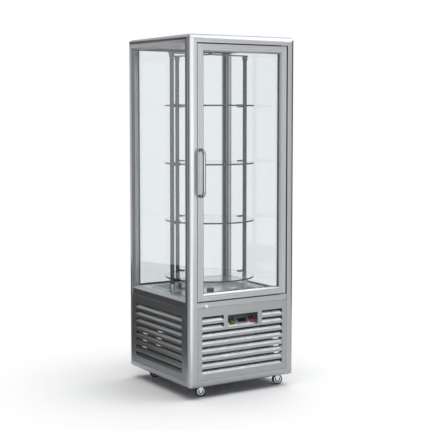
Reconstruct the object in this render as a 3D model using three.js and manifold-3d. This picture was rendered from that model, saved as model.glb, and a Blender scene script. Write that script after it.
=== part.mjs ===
// Revolving glass display cabinet: a refrigerated tower with a hinged glass door, three fixed panes, a driven
// rack of round glass shelves, a louvred machine base and four swivel casters.
// Millimetres. As one faces the door, X runs to the right, Y to the rear and Z up.
// The finished origin is on the floor, under the middle of the whole object's box.

import * as THREE from "three";
import { mergeVertices } from "three/addons/utils/BufferGeometryUtils.js";
import Module from "manifold-3d";

const wasm = await Module();
wasm.setup();

// Driving dimensions
const width = 650;
const depth = 650;
const height = 1850;
const groundClearance = 60;
const baseHeight = 440;
const shelfCount = 4;
const shelfThickness = 8;
const uprightRadius = 11;
const uprightTurn = THREE.MathUtils.degToRad(10.5);

// Clearances and the overrun of every cut
const seam = 0.3;
const fitGap = 0.5;
const doorGap = 3;
const overrun = 5;

// Frame extrusions: the post's section is postFace wide in front and behind, postFlank wide on the sides
const cornerRadius = 27;
const cornerSteps = 5;
const profileWall = 3;
const postFace = 47.5;
const postFlank = 38;
const postDepth = 46;
const glassSetback = 30;
const topRailHeight = 43;
const baseRailHeight = 38.5;
const railDepth = 46;
const midRailHeight = 29;
const midRailRecess = 3;
const midRailDepth = 67;

// Fixed glazing and its bead
const paneThickness = 12;
const beadWidth = 14;
const beadFlat = 2;
const beadSlope = 13;
const sillHeight = 19;

// Roof and lamp
const roofRecess = 3;
const roofSkin = 2;
const cableHoleRadius = 5;
const bearingBossRadius = 25;
const bearingBossHeight = 31;
const bearingBossWall = 18;
const lampEndMargin = 125;
const lampDepth = 22;
const lampHeight = 10;
const lampSetback = 12;

// Louvred panels
const sheet = 2;
const panelProud = 0.5;
const panelFlange = 20;
const coverLowGap = 8;
const coverOpenStretch = 160;
const coverOpenRows = 3;
const louvreRows = 8;
const slotInset = 77;
const slotHeight = 25;
const bladeRise = 16.5;
const bladeDepth = 13;
const bladeRoot = 1;
const louvreLowMargin = 34;
const louvreTopMargin = 45;

// Control niche in the front panel, and the slanted plate in it
const nicheHalfWidth = 93;
const nicheHeight = 62;
const nicheTopMargin = 49;
const nicheSideMargin = 26;
const nicheRows = 2;
const plateLowSetback = 8;
const plateTopSetback = 64;
const plateFlange = 9;
const controlShift = 7;
const controlDrop = 13;
const switchPitch = 62;

// Rocker switches: width across, height up the slope, depth behind the plate
const bezelWidth = 30;
const bezelHeight = 36;
const bezelThickness = 2.5;
const housingWidth = 26;
const housingHeight = 32;
const housingDepth = 20;
const housingFloor = 4;
const rockerWidth = 21.4;
const rockerRadius = 13.4;
const rockerPivotDepth = 3;
const rockerCrown = 0.6;
const rockerBack = 9;
const rockerTilt = THREE.MathUtils.degToRad(10);

// Temperature controller
const controllerWidth = 74;
const controllerHeight = 34;
const controllerBezel = 4;
const controllerBodyWidth = 70;
const controllerBodyHeight = 28;
const controllerBodyDepth = 52;
const displayWidth = 53;
const displayHeight = 27;
const displayRecess = 0.8;

// Door
const doorRecess = 2;
const doorThickness = 38;
const doorMember = 41.5;
const doorChamfer = 4;
const doorGroove = 1.5;
const grooveOneInset = 13.5;
const grooveTwoInset = 25.5;
const doorBevelInset = 34;
const doorBevelDrop = 9;
const doorLip = 14;
const doorRebate = 30;
const doorPaneThickness = 20;
const gasketInset = 12.5;
const gasketWidth = 15.5;
const gasketTaper = 2;

// Door jamb behind the gasket
const jambOverlap = 5;
const jambWidth = 42;
const jambThickness = 5;

// Hinge: a pin in a bracket at the top and at the bottom of the door's right edge
const hingeInset = 12.5;
const hingeSetback = 11;
const pinRadius = 4;
const pinLength = 12;
const pinClearance = 0.3;
const bracketThickness = 2.4;
const bracketWidth = 34;
const bracketDepth = 26;
const bracketEdge = 2;

// Handle
const handleInset = 12.5;
const handleHeight = 1158;
const handleSpan = 231;
const handleReach = 44.5;
const handleRadius = 8.5;
const handleBend = 24;
const handleSteps = 26;
const handleSides = 12;

// Lock
const lockInset = 46.5;
const lockDrop = 17;
const lockHeadRadius = 9.5;
const lockHeadLength = 14;
const lockShankRadius = 7;
const lockShankLength = 25;
const camReach = 30;
const camWidth = 10;
const camThickness = 4;
const camClearance = 2;

// Deck and tray
const deckThickness = 12;
const trayClearance = 10;
const trayWall = 1.5;
const trayFloorDrop = 17;
const trayFlange = 8;
const airSlotEndInset = 32;
const airSlotWidth = 9;
const airSlotInset = 30;
const shaftHoleRadius = 10;

// Revolving rack
const rackClearance = 7.5;
const shaftRadius = 6;
const shaftClearance = 0.3;
const shaftDrop = 50;
const hubRadius = 35;
const armThickness = 6;
const armWidth = 30;
const armFloorGap = 2.5;
const armLift = 4;
const armRiserInset = 45;
const knobRadius = 19;
const knobHeight = 18;
const footRadius = 14;
const footHeight = 38;
const socketHeight = 20;
const topArmDrop = 36;
const topArmWidth = 26;
const topHubRadius = 25;
const topPinRadius = 8;
const topPinLength = 44;
const uprightGap = 0.3;
const firstShelfRise = 64;
const topShelfMargin = 9;
const shelfEdgeGap = 11;
const jawWidth = 22;
const jawReach = 28;
const jawTop = 4;
const jawBottom = 5;
const jawThroatGap = 1;

// Machinery
const panLift = 15;
const panThickness = 2;
const panFlange = 18;
const bridgeEndInset = 62;
const bridgeWidth = 60;
const bridgeThickness = 4;
const gearboxRadius = 40;
const gearboxHeight = 44;
const motorRadius = 31;
const motorHeight = 54;
const bossRadius = 9;
const bossHeight = 8;
const compressorX = 90;
const compressorY = 60;
const compressorRadius = 65;
const compressorWaist = 48;
const compressorBody = 105;
const compressorDome = 40;
const compressorFoot = 190;
const compressorFootDepth = 130;
const compressorFootLift = 12;
const footRubberRadius = 12;
const terminalBox = 46;
const terminalBoxDepth = 28;
const coilCentreX = -20;
const coilHalfWidth = 120;
const coilSetback = 49;
const coilDepth = 38;
const coilHeight = 243;
const shroudDepth = 36;
const shroudWall = 3;
const fanHoleRadius = 103;
const fanRadius = 98;
const fanHub = 30;
const fanDepth = 20;
const fanMotorRadius = 25;
const fanMotorDepth = 40;
const fanArm = 9;
const fanShaftRadius = 3;
const bladeCount = 5;
const bladePitch = THREE.MathUtils.degToRad(28);
const bladeThickness = 2;
const evaporatorSideInset = 125;
const evaporatorSetback = 63;
const evaporatorDepth = 57;
const evaporatorHeight = 122;
const plenumDepth = 32;
const coldFanHole = 58;
const coldFanRadius = 54;
const coldFanHub = 18;
const coldFanDepth = 16;
const coldMotorRadius = 18;
const coldMotorDepth = 32;
const inletInset = 125;
const inletLow = 9;
const inletWidth = 48;
const inletHeight = 20;
const inletFlange = 4;
const inletFlangeThickness = 3;
const inletDepth = 24;
const inletCavityDepth = 14;
const inletCavityWall = 4;
const inletPin = 2;
const inletPinPitch = 12;
const inletPinLength = 9;

// Casters
const casterInset = 83;
const casterTurn = THREE.MathUtils.degToRad(-20);
const wheelRadius = 27;
const wheelHalfWidth = 11;
const wheelShoulder = 3;
const rimRadius = 19;
const rimRecess = 6;
const wheelHub = 10;
const axleRadius = 4;
const axleClearance = 0.3;
const casterTrail = 28;
const crownLift = 1.8;
const crownThickness = 3.2;
const crownFront = 16;
const crownBack = 15;
const legThickness = 3;
const legGap = 1;
const legEnd = 7;
const legTop = 11;
const raceRadius = 17;
const studRadius = 5;
const studHeight = 7;
const nutRadius = 10;

// Counts of flats on round shapes
const fineSides = 48;
const roundSides = 24;
const smallSides = 16;

// Levels and half sizes worked out from the above
const halfWidth = width / 2;
const halfDepth = depth / 2;
const bodyLow = groundClearance;
const bodyHigh = height;
const baseRailTop = bodyLow + baseRailHeight;
const midTop = bodyLow + baseHeight;
const midLow = midTop - midRailHeight;
const topRailLow = bodyHigh - topRailHeight;
const deckTop = midTop + deckThickness;
const panLow = bodyLow + panLift;
const panTop = panLow + panThickness;
const doorFront = doorRecess - halfDepth;
const doorBack = doorFront + doorThickness;
const doorHalfWidth = halfWidth - postFace - doorGap;
const doorLow = midTop + doorGap;
const doorHigh = topRailLow - doorGap;
const jambFront = postDepth - halfDepth;
const jambBack = jambFront + jambThickness;
const paneInnerX = halfWidth - glassSetback - paneThickness;
const paneInnerY = halfDepth - glassSetback - paneThickness;
const rackY = (jambBack + paneInnerY) / 2;
const rackSpace = Math.min(paneInnerX, (paneInnerY - jambBack) / 2);
const uprightCircle = rackSpace - rackClearance - footRadius;
const shelfRadius = uprightCircle - uprightRadius - shelfEdgeGap;
const shelfSpacing = (topRailLow - topShelfMargin - deckTop - firstShelfRise) / shelfCount;
const armRiserRadius = uprightCircle - armRiserInset;
const trayHalfWidth = armRiserRadius + trayClearance;
const jawInner = shelfRadius - jawReach;
const lockX = lockInset - doorHalfWidth;
const lampHalfLength = halfWidth - lampEndMargin;
const bridgeHalfLength = halfWidth - bridgeEndInset;
const evaporatorHalfWidth = halfWidth - evaporatorSideInset;
const frontReach = seam - doorFront + handleReach + handleRadius;
const originShift = (frontReach - halfDepth) / 2;

// Finishes
const finish = (color, roughness, metalness) =>
  new THREE.MeshStandardMaterial({ color, roughness, metalness, flatShading: true });
const glassFinish = (color) =>
  new THREE.MeshStandardMaterial({ color, roughness: 0.05, metalness: 0, transparent: true, opacity: 0.3 });
const aluminium = finish(0xb2b4b6, 0.38, 0.7);
const painted = finish(0xa2a4a6, 0.5, 0.3);
const stainless = finish(0xc2c5c7, 0.3, 0.8);
const chrome = finish(0xd8dadc, 0.08, 1);
const zinc = finish(0xa7abae, 0.45, 0.8);
const blackPlastic = finish(0x17181a, 0.45, 0);
const greyPlastic = finish(0x6d7174, 0.55, 0);
const whitePlastic = finish(0xe6e8e8, 0.5, 0);
const rubber = finish(0x2a2b2d, 0.8, 0);
const redLens = finish(0xc8243c, 0.25, 0);
const greenLens = finish(0x9bb84a, 0.25, 0);
const coilMetal = finish(0x8f9599, 0.4, 0.8);
const blackEnamel = finish(0x1d1f21, 0.35, 0.2);
const clearGlass = glassFinish(0xd6e4e2);
const shelfGlass = glassFinish(0xbfd6d0);

// Geometry helpers
const span = (a, b) => [Math.min(a, b), Math.max(a, b)];
const around = (centre, half) => [centre - half, centre + half];

function turnedOver(geometry) {
  const flipped = geometry.index ? geometry.toNonIndexed() : geometry;
  const position = flipped.getAttribute("position");
  const second = new THREE.Vector3();
  const third = new THREE.Vector3();
  for (let i = 0; i < position.count; i += 3) {
    second.fromBufferAttribute(position, i + 1);
    third.fromBufferAttribute(position, i + 2);
    position.setXYZ(i + 1, third.x, third.y, third.z);
    position.setXYZ(i + 2, second.x, second.y, second.z);
  }
  return flipped;
}

function enclosedVolume(geometry) {
  const loose = geometry.index ? geometry.toNonIndexed() : geometry;
  const position = loose.getAttribute("position");
  const corner = (i) => new THREE.Vector3().fromBufferAttribute(position, i);
  let total = 0;
  for (let i = 0; i < position.count; i += 3) total += corner(i).dot(corner(i + 1).cross(corner(i + 2)));
  return total;
}

const facingOut = (geometry) => (enclosedVolume(geometry) < 0 ? turnedOver(geometry) : geometry);

function solidOf(geometry) {
  const plain = new THREE.BufferGeometry();
  plain.setAttribute("position", geometry.getAttribute("position"));
  if (geometry.index) plain.setIndex(geometry.index);
  const welded = mergeVertices(plain);
  const vertProperties = new Float32Array(welded.getAttribute("position").array);
  const triVerts = new Uint32Array(welded.index.array);
  return new wasm.Manifold(new wasm.Mesh({ numProp: 3, vertProperties, triVerts }));
}

function geometryOf(solid) {
  const mesh = solid.getMesh();
  const geometry = new THREE.BufferGeometry();
  geometry.setAttribute("position", new THREE.BufferAttribute(mesh.vertProperties, mesh.numProp));
  geometry.setIndex(new THREE.BufferAttribute(mesh.triVerts, 1));
  return geometry;
}

const combine = (geometries, step) => geometryOf(geometries.map(solidOf).reduce(step));
const join = (...geometries) => combine(geometries, (a, b) => a.add(b));
const cut = (...geometries) => combine(geometries, (a, b) => a.subtract(b));
const common = (...geometries) => combine(geometries, (a, b) => a.intersect(b));

// A closed prism along an axis, from low to high. Its outline lies in the other two axes, in X, Y, Z order.
function prism(axis, outline, [low, high], holes = []) {
  const vectors = (points) => points.map(([a, b]) => new THREE.Vector2(a, b));
  const shape = new THREE.Shape(vectors(outline));
  shape.holes = holes.map((points) => new THREE.Path(vectors(points)));
  const geometry = new THREE.ExtrudeGeometry(shape, { depth: 1, bevelEnabled: false });
  const position = geometry.getAttribute("position");
  for (let i = 0; i < position.count; i++) {
    const [a, b] = [position.getX(i), position.getY(i)];
    const along = position.getZ(i) > 0 ? high : low;
    if (axis === "x") position.setXYZ(i, along, a, b);
    if (axis === "y") position.setXYZ(i, a, along, b);
    if (axis === "z") position.setXYZ(i, a, b, along);
  }
  return facingOut(geometry);
}

const rectangle = ([a0, a1], [b0, b1]) => [[a0, b0], [a1, b0], [a1, b1], [a0, b1]];
const block = (xs, ys, zs) => prism("z", rectangle(xs, ys), zs);

function circle([a, b], radius, sides, turn = 0) {
  return Array.from({ length: sides }, (_, i) => {
    const angle = turn + (2 * Math.PI * i) / sides;
    return [a + radius * Math.cos(angle), b + radius * Math.sin(angle)];
  });
}

const rod = (axis, centre, radius, ends, sides = roundSides) => prism(axis, circle(centre, radius, sides), ends);

function roundedRectangle([a0, a1], [b0, b1], radius) {
  const centres = [
    [a1 - radius, b1 - radius],
    [a0 + radius, b1 - radius],
    [a0 + radius, b0 + radius],
    [a1 - radius, b0 + radius],
  ];
  return centres.flatMap(([a, b], quarter) =>
    Array.from({ length: cornerSteps + 1 }, (_, i) => {
      const angle = (Math.PI / 2) * (quarter + i / cornerSteps);
      return [a + radius * Math.cos(angle), b + radius * Math.sin(angle)];
    }),
  );
}

// A section of [inset, depth] points run round a rectangle and mitred at its corners. place turns
// (across, depth, up) into a point. lowShare widens or narrows the bottom member alone.
function mitredRing(place, [left, right], [low, high], section, lowShare = 1) {
  const positions = section.flatMap(([inset, across]) =>
    [
      [left + inset, low + inset * lowShare],
      [right - inset, low + inset * lowShare],
      [right - inset, high - inset],
      [left + inset, high - inset],
    ].flatMap(([a, b]) => place(a, across, b)),
  );
  const index = [];
  for (let i = 0; i < section.length; i++) {
    const next = (i + 1) % section.length;
    for (let k = 0; k < 4; k++) {
      const turn = (k + 1) % 4;
      index.push(4 * i + k, 4 * i + turn, 4 * next + turn, 4 * i + k, 4 * next + turn, 4 * next + k);
    }
  }
  const geometry = new THREE.BufferGeometry();
  geometry.setAttribute("position", new THREE.Float32BufferAttribute(positions, 3));
  geometry.setIndex(index);
  return facingOut(geometry);
}

// A closed solid of revolution about Z, from an [radius, z] profile that ends on the axis or closes on itself.
function turned(profile, sides = roundSides, turn = 0) {
  const geometry = new THREE.LatheGeometry(
    profile.map(([r, z]) => new THREE.Vector2(r, z)),
    sides,
    turn,
  );
  geometry.rotateX(Math.PI / 2);
  return facingOut(geometry.toNonIndexed());
}

const placed = (geometry, matrix) => geometry.clone().applyMatrix4(matrix);
const move = (x, y, z) => new THREE.Matrix4().makeTranslation(x, y, z);
const turnZ = (angle) => new THREE.Matrix4().makeRotationZ(angle);

const cabinet = new THREE.Group();
cabinet.position.y = originShift;

function piece(name, geometry, material, parent = cabinet) {
  const mesh = new THREE.Mesh(geometry, material);
  mesh.name = name;
  parent.add(mesh);
  return mesh;
}

// The outer skin of the whole body: a box with every edge rounded, drawn in all round by an inset
function bodyEnvelope(inset) {
  const radius = cornerRadius - inset;
  const xs = around(0, halfWidth - inset);
  const ys = around(0, halfDepth - inset);
  const zs = [bodyLow + inset, bodyHigh - inset];
  return common(
    prism("z", roundedRectangle(xs, ys, radius), zs),
    prism("y", roundedRectangle(xs, zs, radius), ys),
    prism("x", roundedRectangle(ys, zs, radius), xs),
  );
}

const outerSkin = bodyEnvelope(0);
const innerSkin = bodyEnvelope(profileWall);
const corners = [
  ["front_left", -1, -1],
  ["front_right", 1, -1],
  ["rear_left", -1, 1],
  ["rear_right", 1, 1],
];

const fromCorner = (sideX, sideY, x, y) => [sideX * (halfWidth - x), sideY * (halfDepth - y)];

function postOutline(sideX, sideY, grow = 0) {
  return [
    [-overrun, -overrun],
    [postFace + grow, -overrun],
    [postFace + grow, postDepth + grow],
    [glassSetback - grow, postDepth + grow],
    [glassSetback - grow, postFlank + grow],
    [-overrun, postFlank + grow],
  ].map(([x, y]) => fromCorner(sideX, sideY, x, y));
}

// The wedge by which a post runs into a rail ring. Its apex is at the body's corner, on or beyond outerZ.
function mitreWedge(sideX, sideY, outerZ, innerZ, gap, beyond) {
  const rise = Math.abs(innerZ - outerZ);
  const up = Math.sign(innerZ - outerZ);
  const insetX = (z) => gap + (z * postFace) / rise;
  const insetY = (z) => gap + (z * postFlank) / rise;
  const point = (x, y, z) => [...fromCorner(sideX, sideY, x, y), outerZ + up * z];
  const [near, far] = [-overrun, rise + beyond];
  const positions = [
    point(insetX(near), insetY(near), near),
    point(insetX(near), insetY(near), far),
    point(insetX(far), insetY(near), far),
    point(insetX(far), insetY(far), far),
    point(insetX(near), insetY(far), far),
  ].flat();
  const geometry = new THREE.BufferGeometry();
  geometry.setAttribute("position", new THREE.Float32BufferAttribute(positions, 3));
  geometry.setIndex([0, 1, 2, 0, 2, 3, 0, 3, 4, 0, 4, 1, 1, 4, 3, 1, 3, 2]);
  return facingOut(geometry);
}

// Corner posts: hollow extrusions, mitred into the top and base frames
for (const [corner, sideX, sideY] of corners) {
  const shaft = join(
    prism("z", postOutline(sideX, sideY), [baseRailTop, topRailLow]),
    mitreWedge(sideX, sideY, bodyHigh, topRailLow, 0, 0),
    mitreWedge(sideX, sideY, bodyLow, baseRailTop, 0, 0),
  );
  const [boreX0, boreY0] = fromCorner(sideX, sideY, profileWall, profileWall);
  const [boreX1, boreY1] = fromCorner(sideX, sideY, postFace - profileWall, postFlank - profileWall);
  const bore = block(span(boreX0, boreX1), span(boreY0, boreY1), [bodyLow - overrun, bodyHigh + overrun]);
  piece("corner_post_" + corner, cut(common(outerSkin, shaft), common(innerSkin, bore)), aluminium);
}

// Top and base frames: rings of four hollow rails, cut back to a hairline from the posts
function railRing(outerZ, innerZ) {
  const wallZ = innerZ + Math.sign(outerZ - innerZ) * profileWall;
  const beyondZ = outerZ + Math.sign(outerZ - innerZ) * overrun;
  const all = [around(0, halfWidth + overrun), around(0, halfDepth + overrun)];
  const opening = (wall) => [around(0, halfWidth - railDepth + wall), around(0, halfDepth - railDepth + wall)];
  const ring = common(outerSkin, block(...all, span(innerZ, beyondZ)));
  const channel = cut(
    common(innerSkin, block(...all, span(wallZ, beyondZ))),
    block(...opening(profileWall), span(innerZ, beyondZ)),
  );
  const wedges = corners.map(([, sideX, sideY]) => mitreWedge(sideX, sideY, outerZ, innerZ, seam, overrun));
  const past = span(innerZ - Math.sign(outerZ - innerZ) * overrun, beyondZ);
  return cut(ring, block(...opening(0), past), channel, ...wedges);
}

piece("top_frame", railRing(bodyHigh, topRailLow), aluminium);
piece("base_frame", railRing(bodyLow, baseRailTop), aluminium);

// Mid frame: an inverted channel between the posts, which carries the deck and holds the lock
const lockZ = midTop - lockDrop;
const camLevel = doorFront + midRailRecess - doorRecess + lockShankLength;
function midFrame() {
  const square = (inset) => [around(0, halfWidth - inset), around(0, halfDepth - inset)];
  const outer = midRailRecess;
  const inner = midRailRecess + midRailDepth;
  const notches = (grow, zs) => corners.map(([, x, y]) => prism("z", postOutline(x, y, grow), zs));
  const through = [midLow - overrun, midTop + overrun];
  const pocket = cut(
    block(...square(outer + profileWall), [midLow - overrun, midTop - profileWall]),
    block(...square(inner - profileWall), through),
    ...notches(seam + profileWall, through),
  );
  const camSlot = block(
    [lockX - camWidth / 2 - camClearance, lockX + camReach + camClearance],
    [camLevel - camThickness - camClearance, camLevel + camClearance],
    [midTop - profileWall - overrun, midTop + overrun],
  );
  const lockBore = rod(
    "y",
    [lockX, lockZ],
    lockShankRadius + seam,
    [-halfDepth, midRailRecess + profileWall + overrun - halfDepth],
    smallSides,
  );
  return cut(
    block(...square(outer), [midLow, midTop]),
    block(...square(inner), through),
    ...notches(seam, through),
    pocket,
    camSlot,
    lockBore,
  );
}
piece("mid_frame", midFrame(), aluminium);

// Fixed panes and their bevelled glazing beads, which hold each pane from outside
const beadSection = (half, side) =>
  [
    [0, midRailRecess],
    [beadFlat, midRailRecess],
    [beadWidth, midRailRecess + beadSlope],
    [beadWidth, glassSetback],
    [0, glassSetback],
  ].map(([inset, back]) => [inset, side * (half - back)]);
const sillShare = sillHeight / beadWidth;
const paneZs = [midTop + seam, topRailLow - seam];
const paneHalfY = halfDepth - postDepth - fitGap;
const paneHalfX = halfWidth - postFace - fitGap;
for (const [name, side] of [["left", -1], ["right", 1]]) {
  const place = (a, across, b) => [across, a, b];
  const section = beadSection(halfWidth, side);
  const bead = mitredRing(place, around(0, halfDepth - postFlank), [midTop, topRailLow], section, sillShare);
  piece("glazing_bead_" + name, bead, aluminium);
  const paneXs = span(side * (halfWidth - glassSetback), side * paneInnerX);
  piece("glass_" + name, block(paneXs, around(0, paneHalfY), paneZs), clearGlass);
}
const upright = (a, across, b) => [a, across, b];
const rearBead = mitredRing(
  upright,
  around(0, halfWidth - postFace),
  [midTop, topRailLow],
  beadSection(halfDepth, 1),
  sillShare,
);
piece("glazing_bead_rear", rearBead, aluminium);
piece("glass_rear", block(around(0, paneHalfX), [paneInnerY, halfDepth - glassSetback], paneZs), clearGlass);

// Roof: a double-skinned panel with the rack's bearing boss under it and a hole for the lamp's cable
const roofHalfX = halfWidth - railDepth - fitGap;
const roofHalfY = halfDepth - railDepth - fitGap;
const roofHigh = bodyHigh - roofRecess;
const bossLow = topRailLow - bearingBossHeight;
const boreTop = topRailLow + bearingBossWall;
const topBoreRadius = topPinRadius + shaftClearance;
const lampFront = jambBack + lampSetback;
const roof = cut(
  join(
    cut(
      block(around(0, roofHalfX), around(0, roofHalfY), [topRailLow, roofHigh]),
      block(around(0, roofHalfX - roofSkin), around(0, roofHalfY - roofSkin), [
        topRailLow + roofSkin,
        roofHigh - roofSkin,
      ]),
    ),
    rod("z", [0, rackY], bearingBossRadius, [bossLow, boreTop + roofSkin]),
  ),
  rod("z", [0, rackY], topBoreRadius, [bossLow - overrun, boreTop], smallSides),
  rod("z", [0, lampFront + lampDepth / 2], cableHoleRadius, [topRailLow - overrun, topRailLow + overrun], smallSides),
);
piece("roof_panel", roof, painted);

const lamp = prism(
  "x",
  [
    [lampFront, topRailLow - seam],
    [lampFront, topRailLow - lampHeight / 2],
    [lampFront + lampDepth / 2, topRailLow - lampHeight],
    [lampFront + lampDepth, topRailLow - lampHeight],
    [lampFront + lampDepth, topRailLow - seam],
  ],
  around(0, lampHalfLength),
);
piece("ceiling_lamp", lamp, whitePlastic);

// Louvred base panels: a pressed sheet with flanges, slots and blades that slope up and inwards
const panelZs = [baseRailTop + fitGap, midLow - fitGap];
const panelOuter = panelProud - halfDepth;
const sidePanelOuter = panelProud - halfWidth;
const rowPitch = (midLow - baseRailTop - louvreLowMargin - louvreTopMargin - slotHeight) / (louvreRows - 1);
const rowSill = (row) => baseRailTop + louvreLowMargin + row * rowPitch;

// openEnd is the end, -1 or 1, at which the cover behind the slots leaves the lowest rows open. 0 is no cover.
function louvredPanel(halfSpan, outer, stretchesOf, openings, openEnd = 0) {
  const slots = Array.from({ length: louvreRows }, (_, row) => row).flatMap((row) =>
    stretchesOf(row).map((xs) => ({ xs, sill: rowSill(row) })),
  );
  const holes = slots.map(({ xs, sill }) => rectangle(xs, [sill, sill + slotHeight])).concat(openings);
  const face = prism("y", rectangle(around(0, halfSpan), panelZs), [outer, outer + sheet], holes);
  const insideX = around(0, halfSpan - sheet);
  const insideZ = [panelZs[0] + sheet, panelZs[1] - sheet];
  const flange = prism(
    "y",
    rectangle(around(0, halfSpan), panelZs),
    [outer, outer + panelFlange],
    [rectangle(insideX, insideZ)],
  );
  const blades = slots.map(({ xs, sill }) =>
    prism(
      "x",
      [
        [outer, sill - bladeRoot],
        [outer, sill],
        [outer + bladeDepth, sill + bladeRise],
        [outer + bladeDepth + sheet, sill + bladeRise],
        [outer + sheet, sill - bladeRoot],
      ],
      xs,
    ),
  );
  const coverYs = [outer + panelFlange - sheet, outer + panelFlange];
  const openEdge = openEnd * (halfSpan - coverOpenStretch);
  const covers = openEnd
    ? [
        block(around(0, halfSpan), coverYs, [rowSill(coverOpenRows), panelZs[1]]),
        block(span(-openEnd * halfSpan, openEdge), coverYs, [rowSill(0) + coverLowGap, panelZs[1]]),
      ]
    : [];
  return join(face, flange, ...blades, ...covers);
}

const slotHalfLength = halfWidth - slotInset;
const fullSlot = () => [around(0, slotHalfLength)];
const sideSlot = () => [around(0, halfDepth - slotInset)];
const sidePanel = (openEnd) => louvredPanel(halfDepth - postFlank - fitGap, sidePanelOuter, sideSlot, [], openEnd);
piece("louvred_panel_left", sidePanel(0), painted).rotation.z = -Math.PI / 2;
piece("louvred_panel_right", sidePanel(-1), painted).rotation.z = Math.PI / 2;

const nicheTop = midLow - nicheTopMargin;
const nicheLow = nicheTop - nicheHeight;
const splitSlot = [
  [-slotHalfLength, -nicheHalfWidth - nicheSideMargin],
  [nicheHalfWidth + nicheSideMargin, slotHalfLength],
];
const frontStretches = (row) => (row < louvreRows - nicheRows ? fullSlot() : splitSlot);
const nicheOpening = rectangle(around(0, nicheHalfWidth), [nicheLow, nicheTop]);
const frontHalfSpan = halfWidth - postFace - fitGap;
piece("louvred_panel_front", louvredPanel(frontHalfSpan, panelOuter, frontStretches, [nicheOpening]), painted);

const inletX = halfWidth - inletInset;
const inletZs = [baseRailTop + inletLow, baseRailTop + inletLow + inletHeight];
const inletOpening = rectangle(around(-inletX, inletWidth / 2 + seam), [inletZs[0] - seam, inletZs[1] + seam]);
const rearPanel = louvredPanel(frontHalfSpan, panelOuter, fullSlot, [inletOpening], 1);
piece("louvred_panel_rear", rearPanel, painted).rotation.z = Math.PI;

// Mains inlet, snapped into the rear panel from inside
const inletFace = -panelOuter;
const inletBody = join(
  block(around(inletX, inletWidth / 2), [inletFace - inletDepth, inletFace], inletZs),
  block(
    around(inletX, inletWidth / 2 + inletFlange),
    [inletFace - sheet - seam - inletFlangeThickness, inletFace - sheet - seam],
    [inletZs[0] - inletFlange, inletZs[1] + inletFlange],
  ),
);
const inletCavity = block(
  around(inletX, inletWidth / 2 - inletCavityWall),
  [inletFace - inletCavityDepth, inletFace + overrun],
  [inletZs[0] + inletCavityWall, inletZs[1] - inletCavityWall],
);
const inletMiddle = (inletZs[0] + inletZs[1]) / 2;
const inletPins = [-1, 0, 1].map((place) =>
  block(
    around(inletX + place * inletPinPitch, inletPin),
    [inletFace - inletCavityDepth - inletPin, inletFace - inletCavityDepth + inletPinLength],
    around(inletMiddle, inletPin / 2),
  ),
);
piece("mains_inlet", join(cut(inletBody, inletCavity), ...inletPins), blackPlastic);

// Control box: a slanted plate between two cheeks, set behind the niche. The plate's own frame has its front
// face on y = 0, X across and Z up the slope.
const plateLow = [plateLowSetback - halfDepth, nicheLow];
const plateHigh = [plateTopSetback - halfDepth, nicheTop];
const plateTilt = Math.atan2(plateHigh[0] - plateLow[0], nicheHeight);
const slopeHalf = Math.hypot(plateHigh[0] - plateLow[0], nicheHeight) / 2;
const plateFrame = new THREE.Group();
plateFrame.position.set(0, (plateLow[0] + plateHigh[0]) / 2, (nicheLow + nicheTop) / 2);
plateFrame.rotation.x = -plateTilt;
plateFrame.updateMatrix();
cabinet.add(plateFrame);

const switchXs = { power: controlShift + switchPitch, light: controlShift - switchPitch };
const flangeFront = panelOuter + sheet + seam;
const cheekOuter = nicheHalfWidth + sheet;
function controlBox() {
  const plate = placed(block(around(0, cheekOuter), [0, sheet], around(0, slopeHalf)), plateFrame.matrix);
  const roofEdge = plateHigh[0] + sheet / Math.cos(plateTilt);
  const top = block(around(0, cheekOuter), [flangeFront, roofEdge], [nicheTop, nicheTop + sheet]);
  const lowEdge = plateLow[0] + sheet / Math.cos(plateTilt);
  const floor = block(around(0, cheekOuter), [flangeFront, lowEdge], [nicheLow - sheet, nicheLow]);
  const cheekOutline = [
    [flangeFront, nicheLow - sheet],
    [flangeFront, nicheTop + sheet],
    [roofEdge, nicheTop + sheet],
    [lowEdge, nicheLow - sheet],
  ];
  const cheeks = [-1, 1].map((side) =>
    prism("x", cheekOutline, span(side * nicheHalfWidth, side * cheekOuter)),
  );
  const flangeZs = [nicheLow - plateFlange, nicheTop + plateFlange];
  const flange = prism(
    "y",
    rectangle(around(0, nicheHalfWidth + plateFlange), flangeZs),
    [flangeFront, flangeFront + sheet],
    [nicheOpening],
  );
  const windowCut = (x, halfX, halfZ) =>
    placed(
      block(around(x, halfX + seam), around(0, sheet + overrun), around(-controlDrop, halfZ + seam)),
      plateFrame.matrix,
    );
  return cut(
    join(plate, top, floor, ...cheeks, flange),
    windowCut(switchXs.power, housingWidth / 2, housingHeight / 2),
    windowCut(switchXs.light, housingWidth / 2, housingHeight / 2),
    windowCut(controlShift, controllerBodyWidth / 2, controllerBodyHeight / 2),
  );
}
piece("control_box", controlBox(), painted);

// Rocker switches: housing in the plate, rocker resting in its off position
function switchHousing(x) {
  const front = -seam - bezelThickness;
  const bezel = block(around(x, bezelWidth / 2), [front, -seam], around(-controlDrop, bezelHeight / 2));
  const body = block(around(x, housingWidth / 2), [front, housingDepth], around(-controlDrop, housingHeight / 2));
  const well = block(
    around(x, rockerWidth / 2 + seam),
    [front - overrun, housingDepth - housingFloor],
    around(-controlDrop, rockerRadius + seam),
  );
  return cut(join(bezel, body), well);
}

function rocker() {
  const disc = circle([0, 0], rockerRadius, roundSides, Math.PI / roundSides);
  const rim = rockerRadius * Math.tan(rockerTilt);
  const front = -rockerPivotDepth - bezelThickness - rockerCrown;
  const kept = [
    [front - rim, -rockerRadius],
    [front, 0],
    [front - rim, rockerRadius],
    [rockerBack, rockerRadius],
    [rockerBack, -rockerRadius],
  ];
  const along = around(0, rockerWidth / 2);
  return common(prism("x", disc, along), prism("x", kept, along));
}

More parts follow.
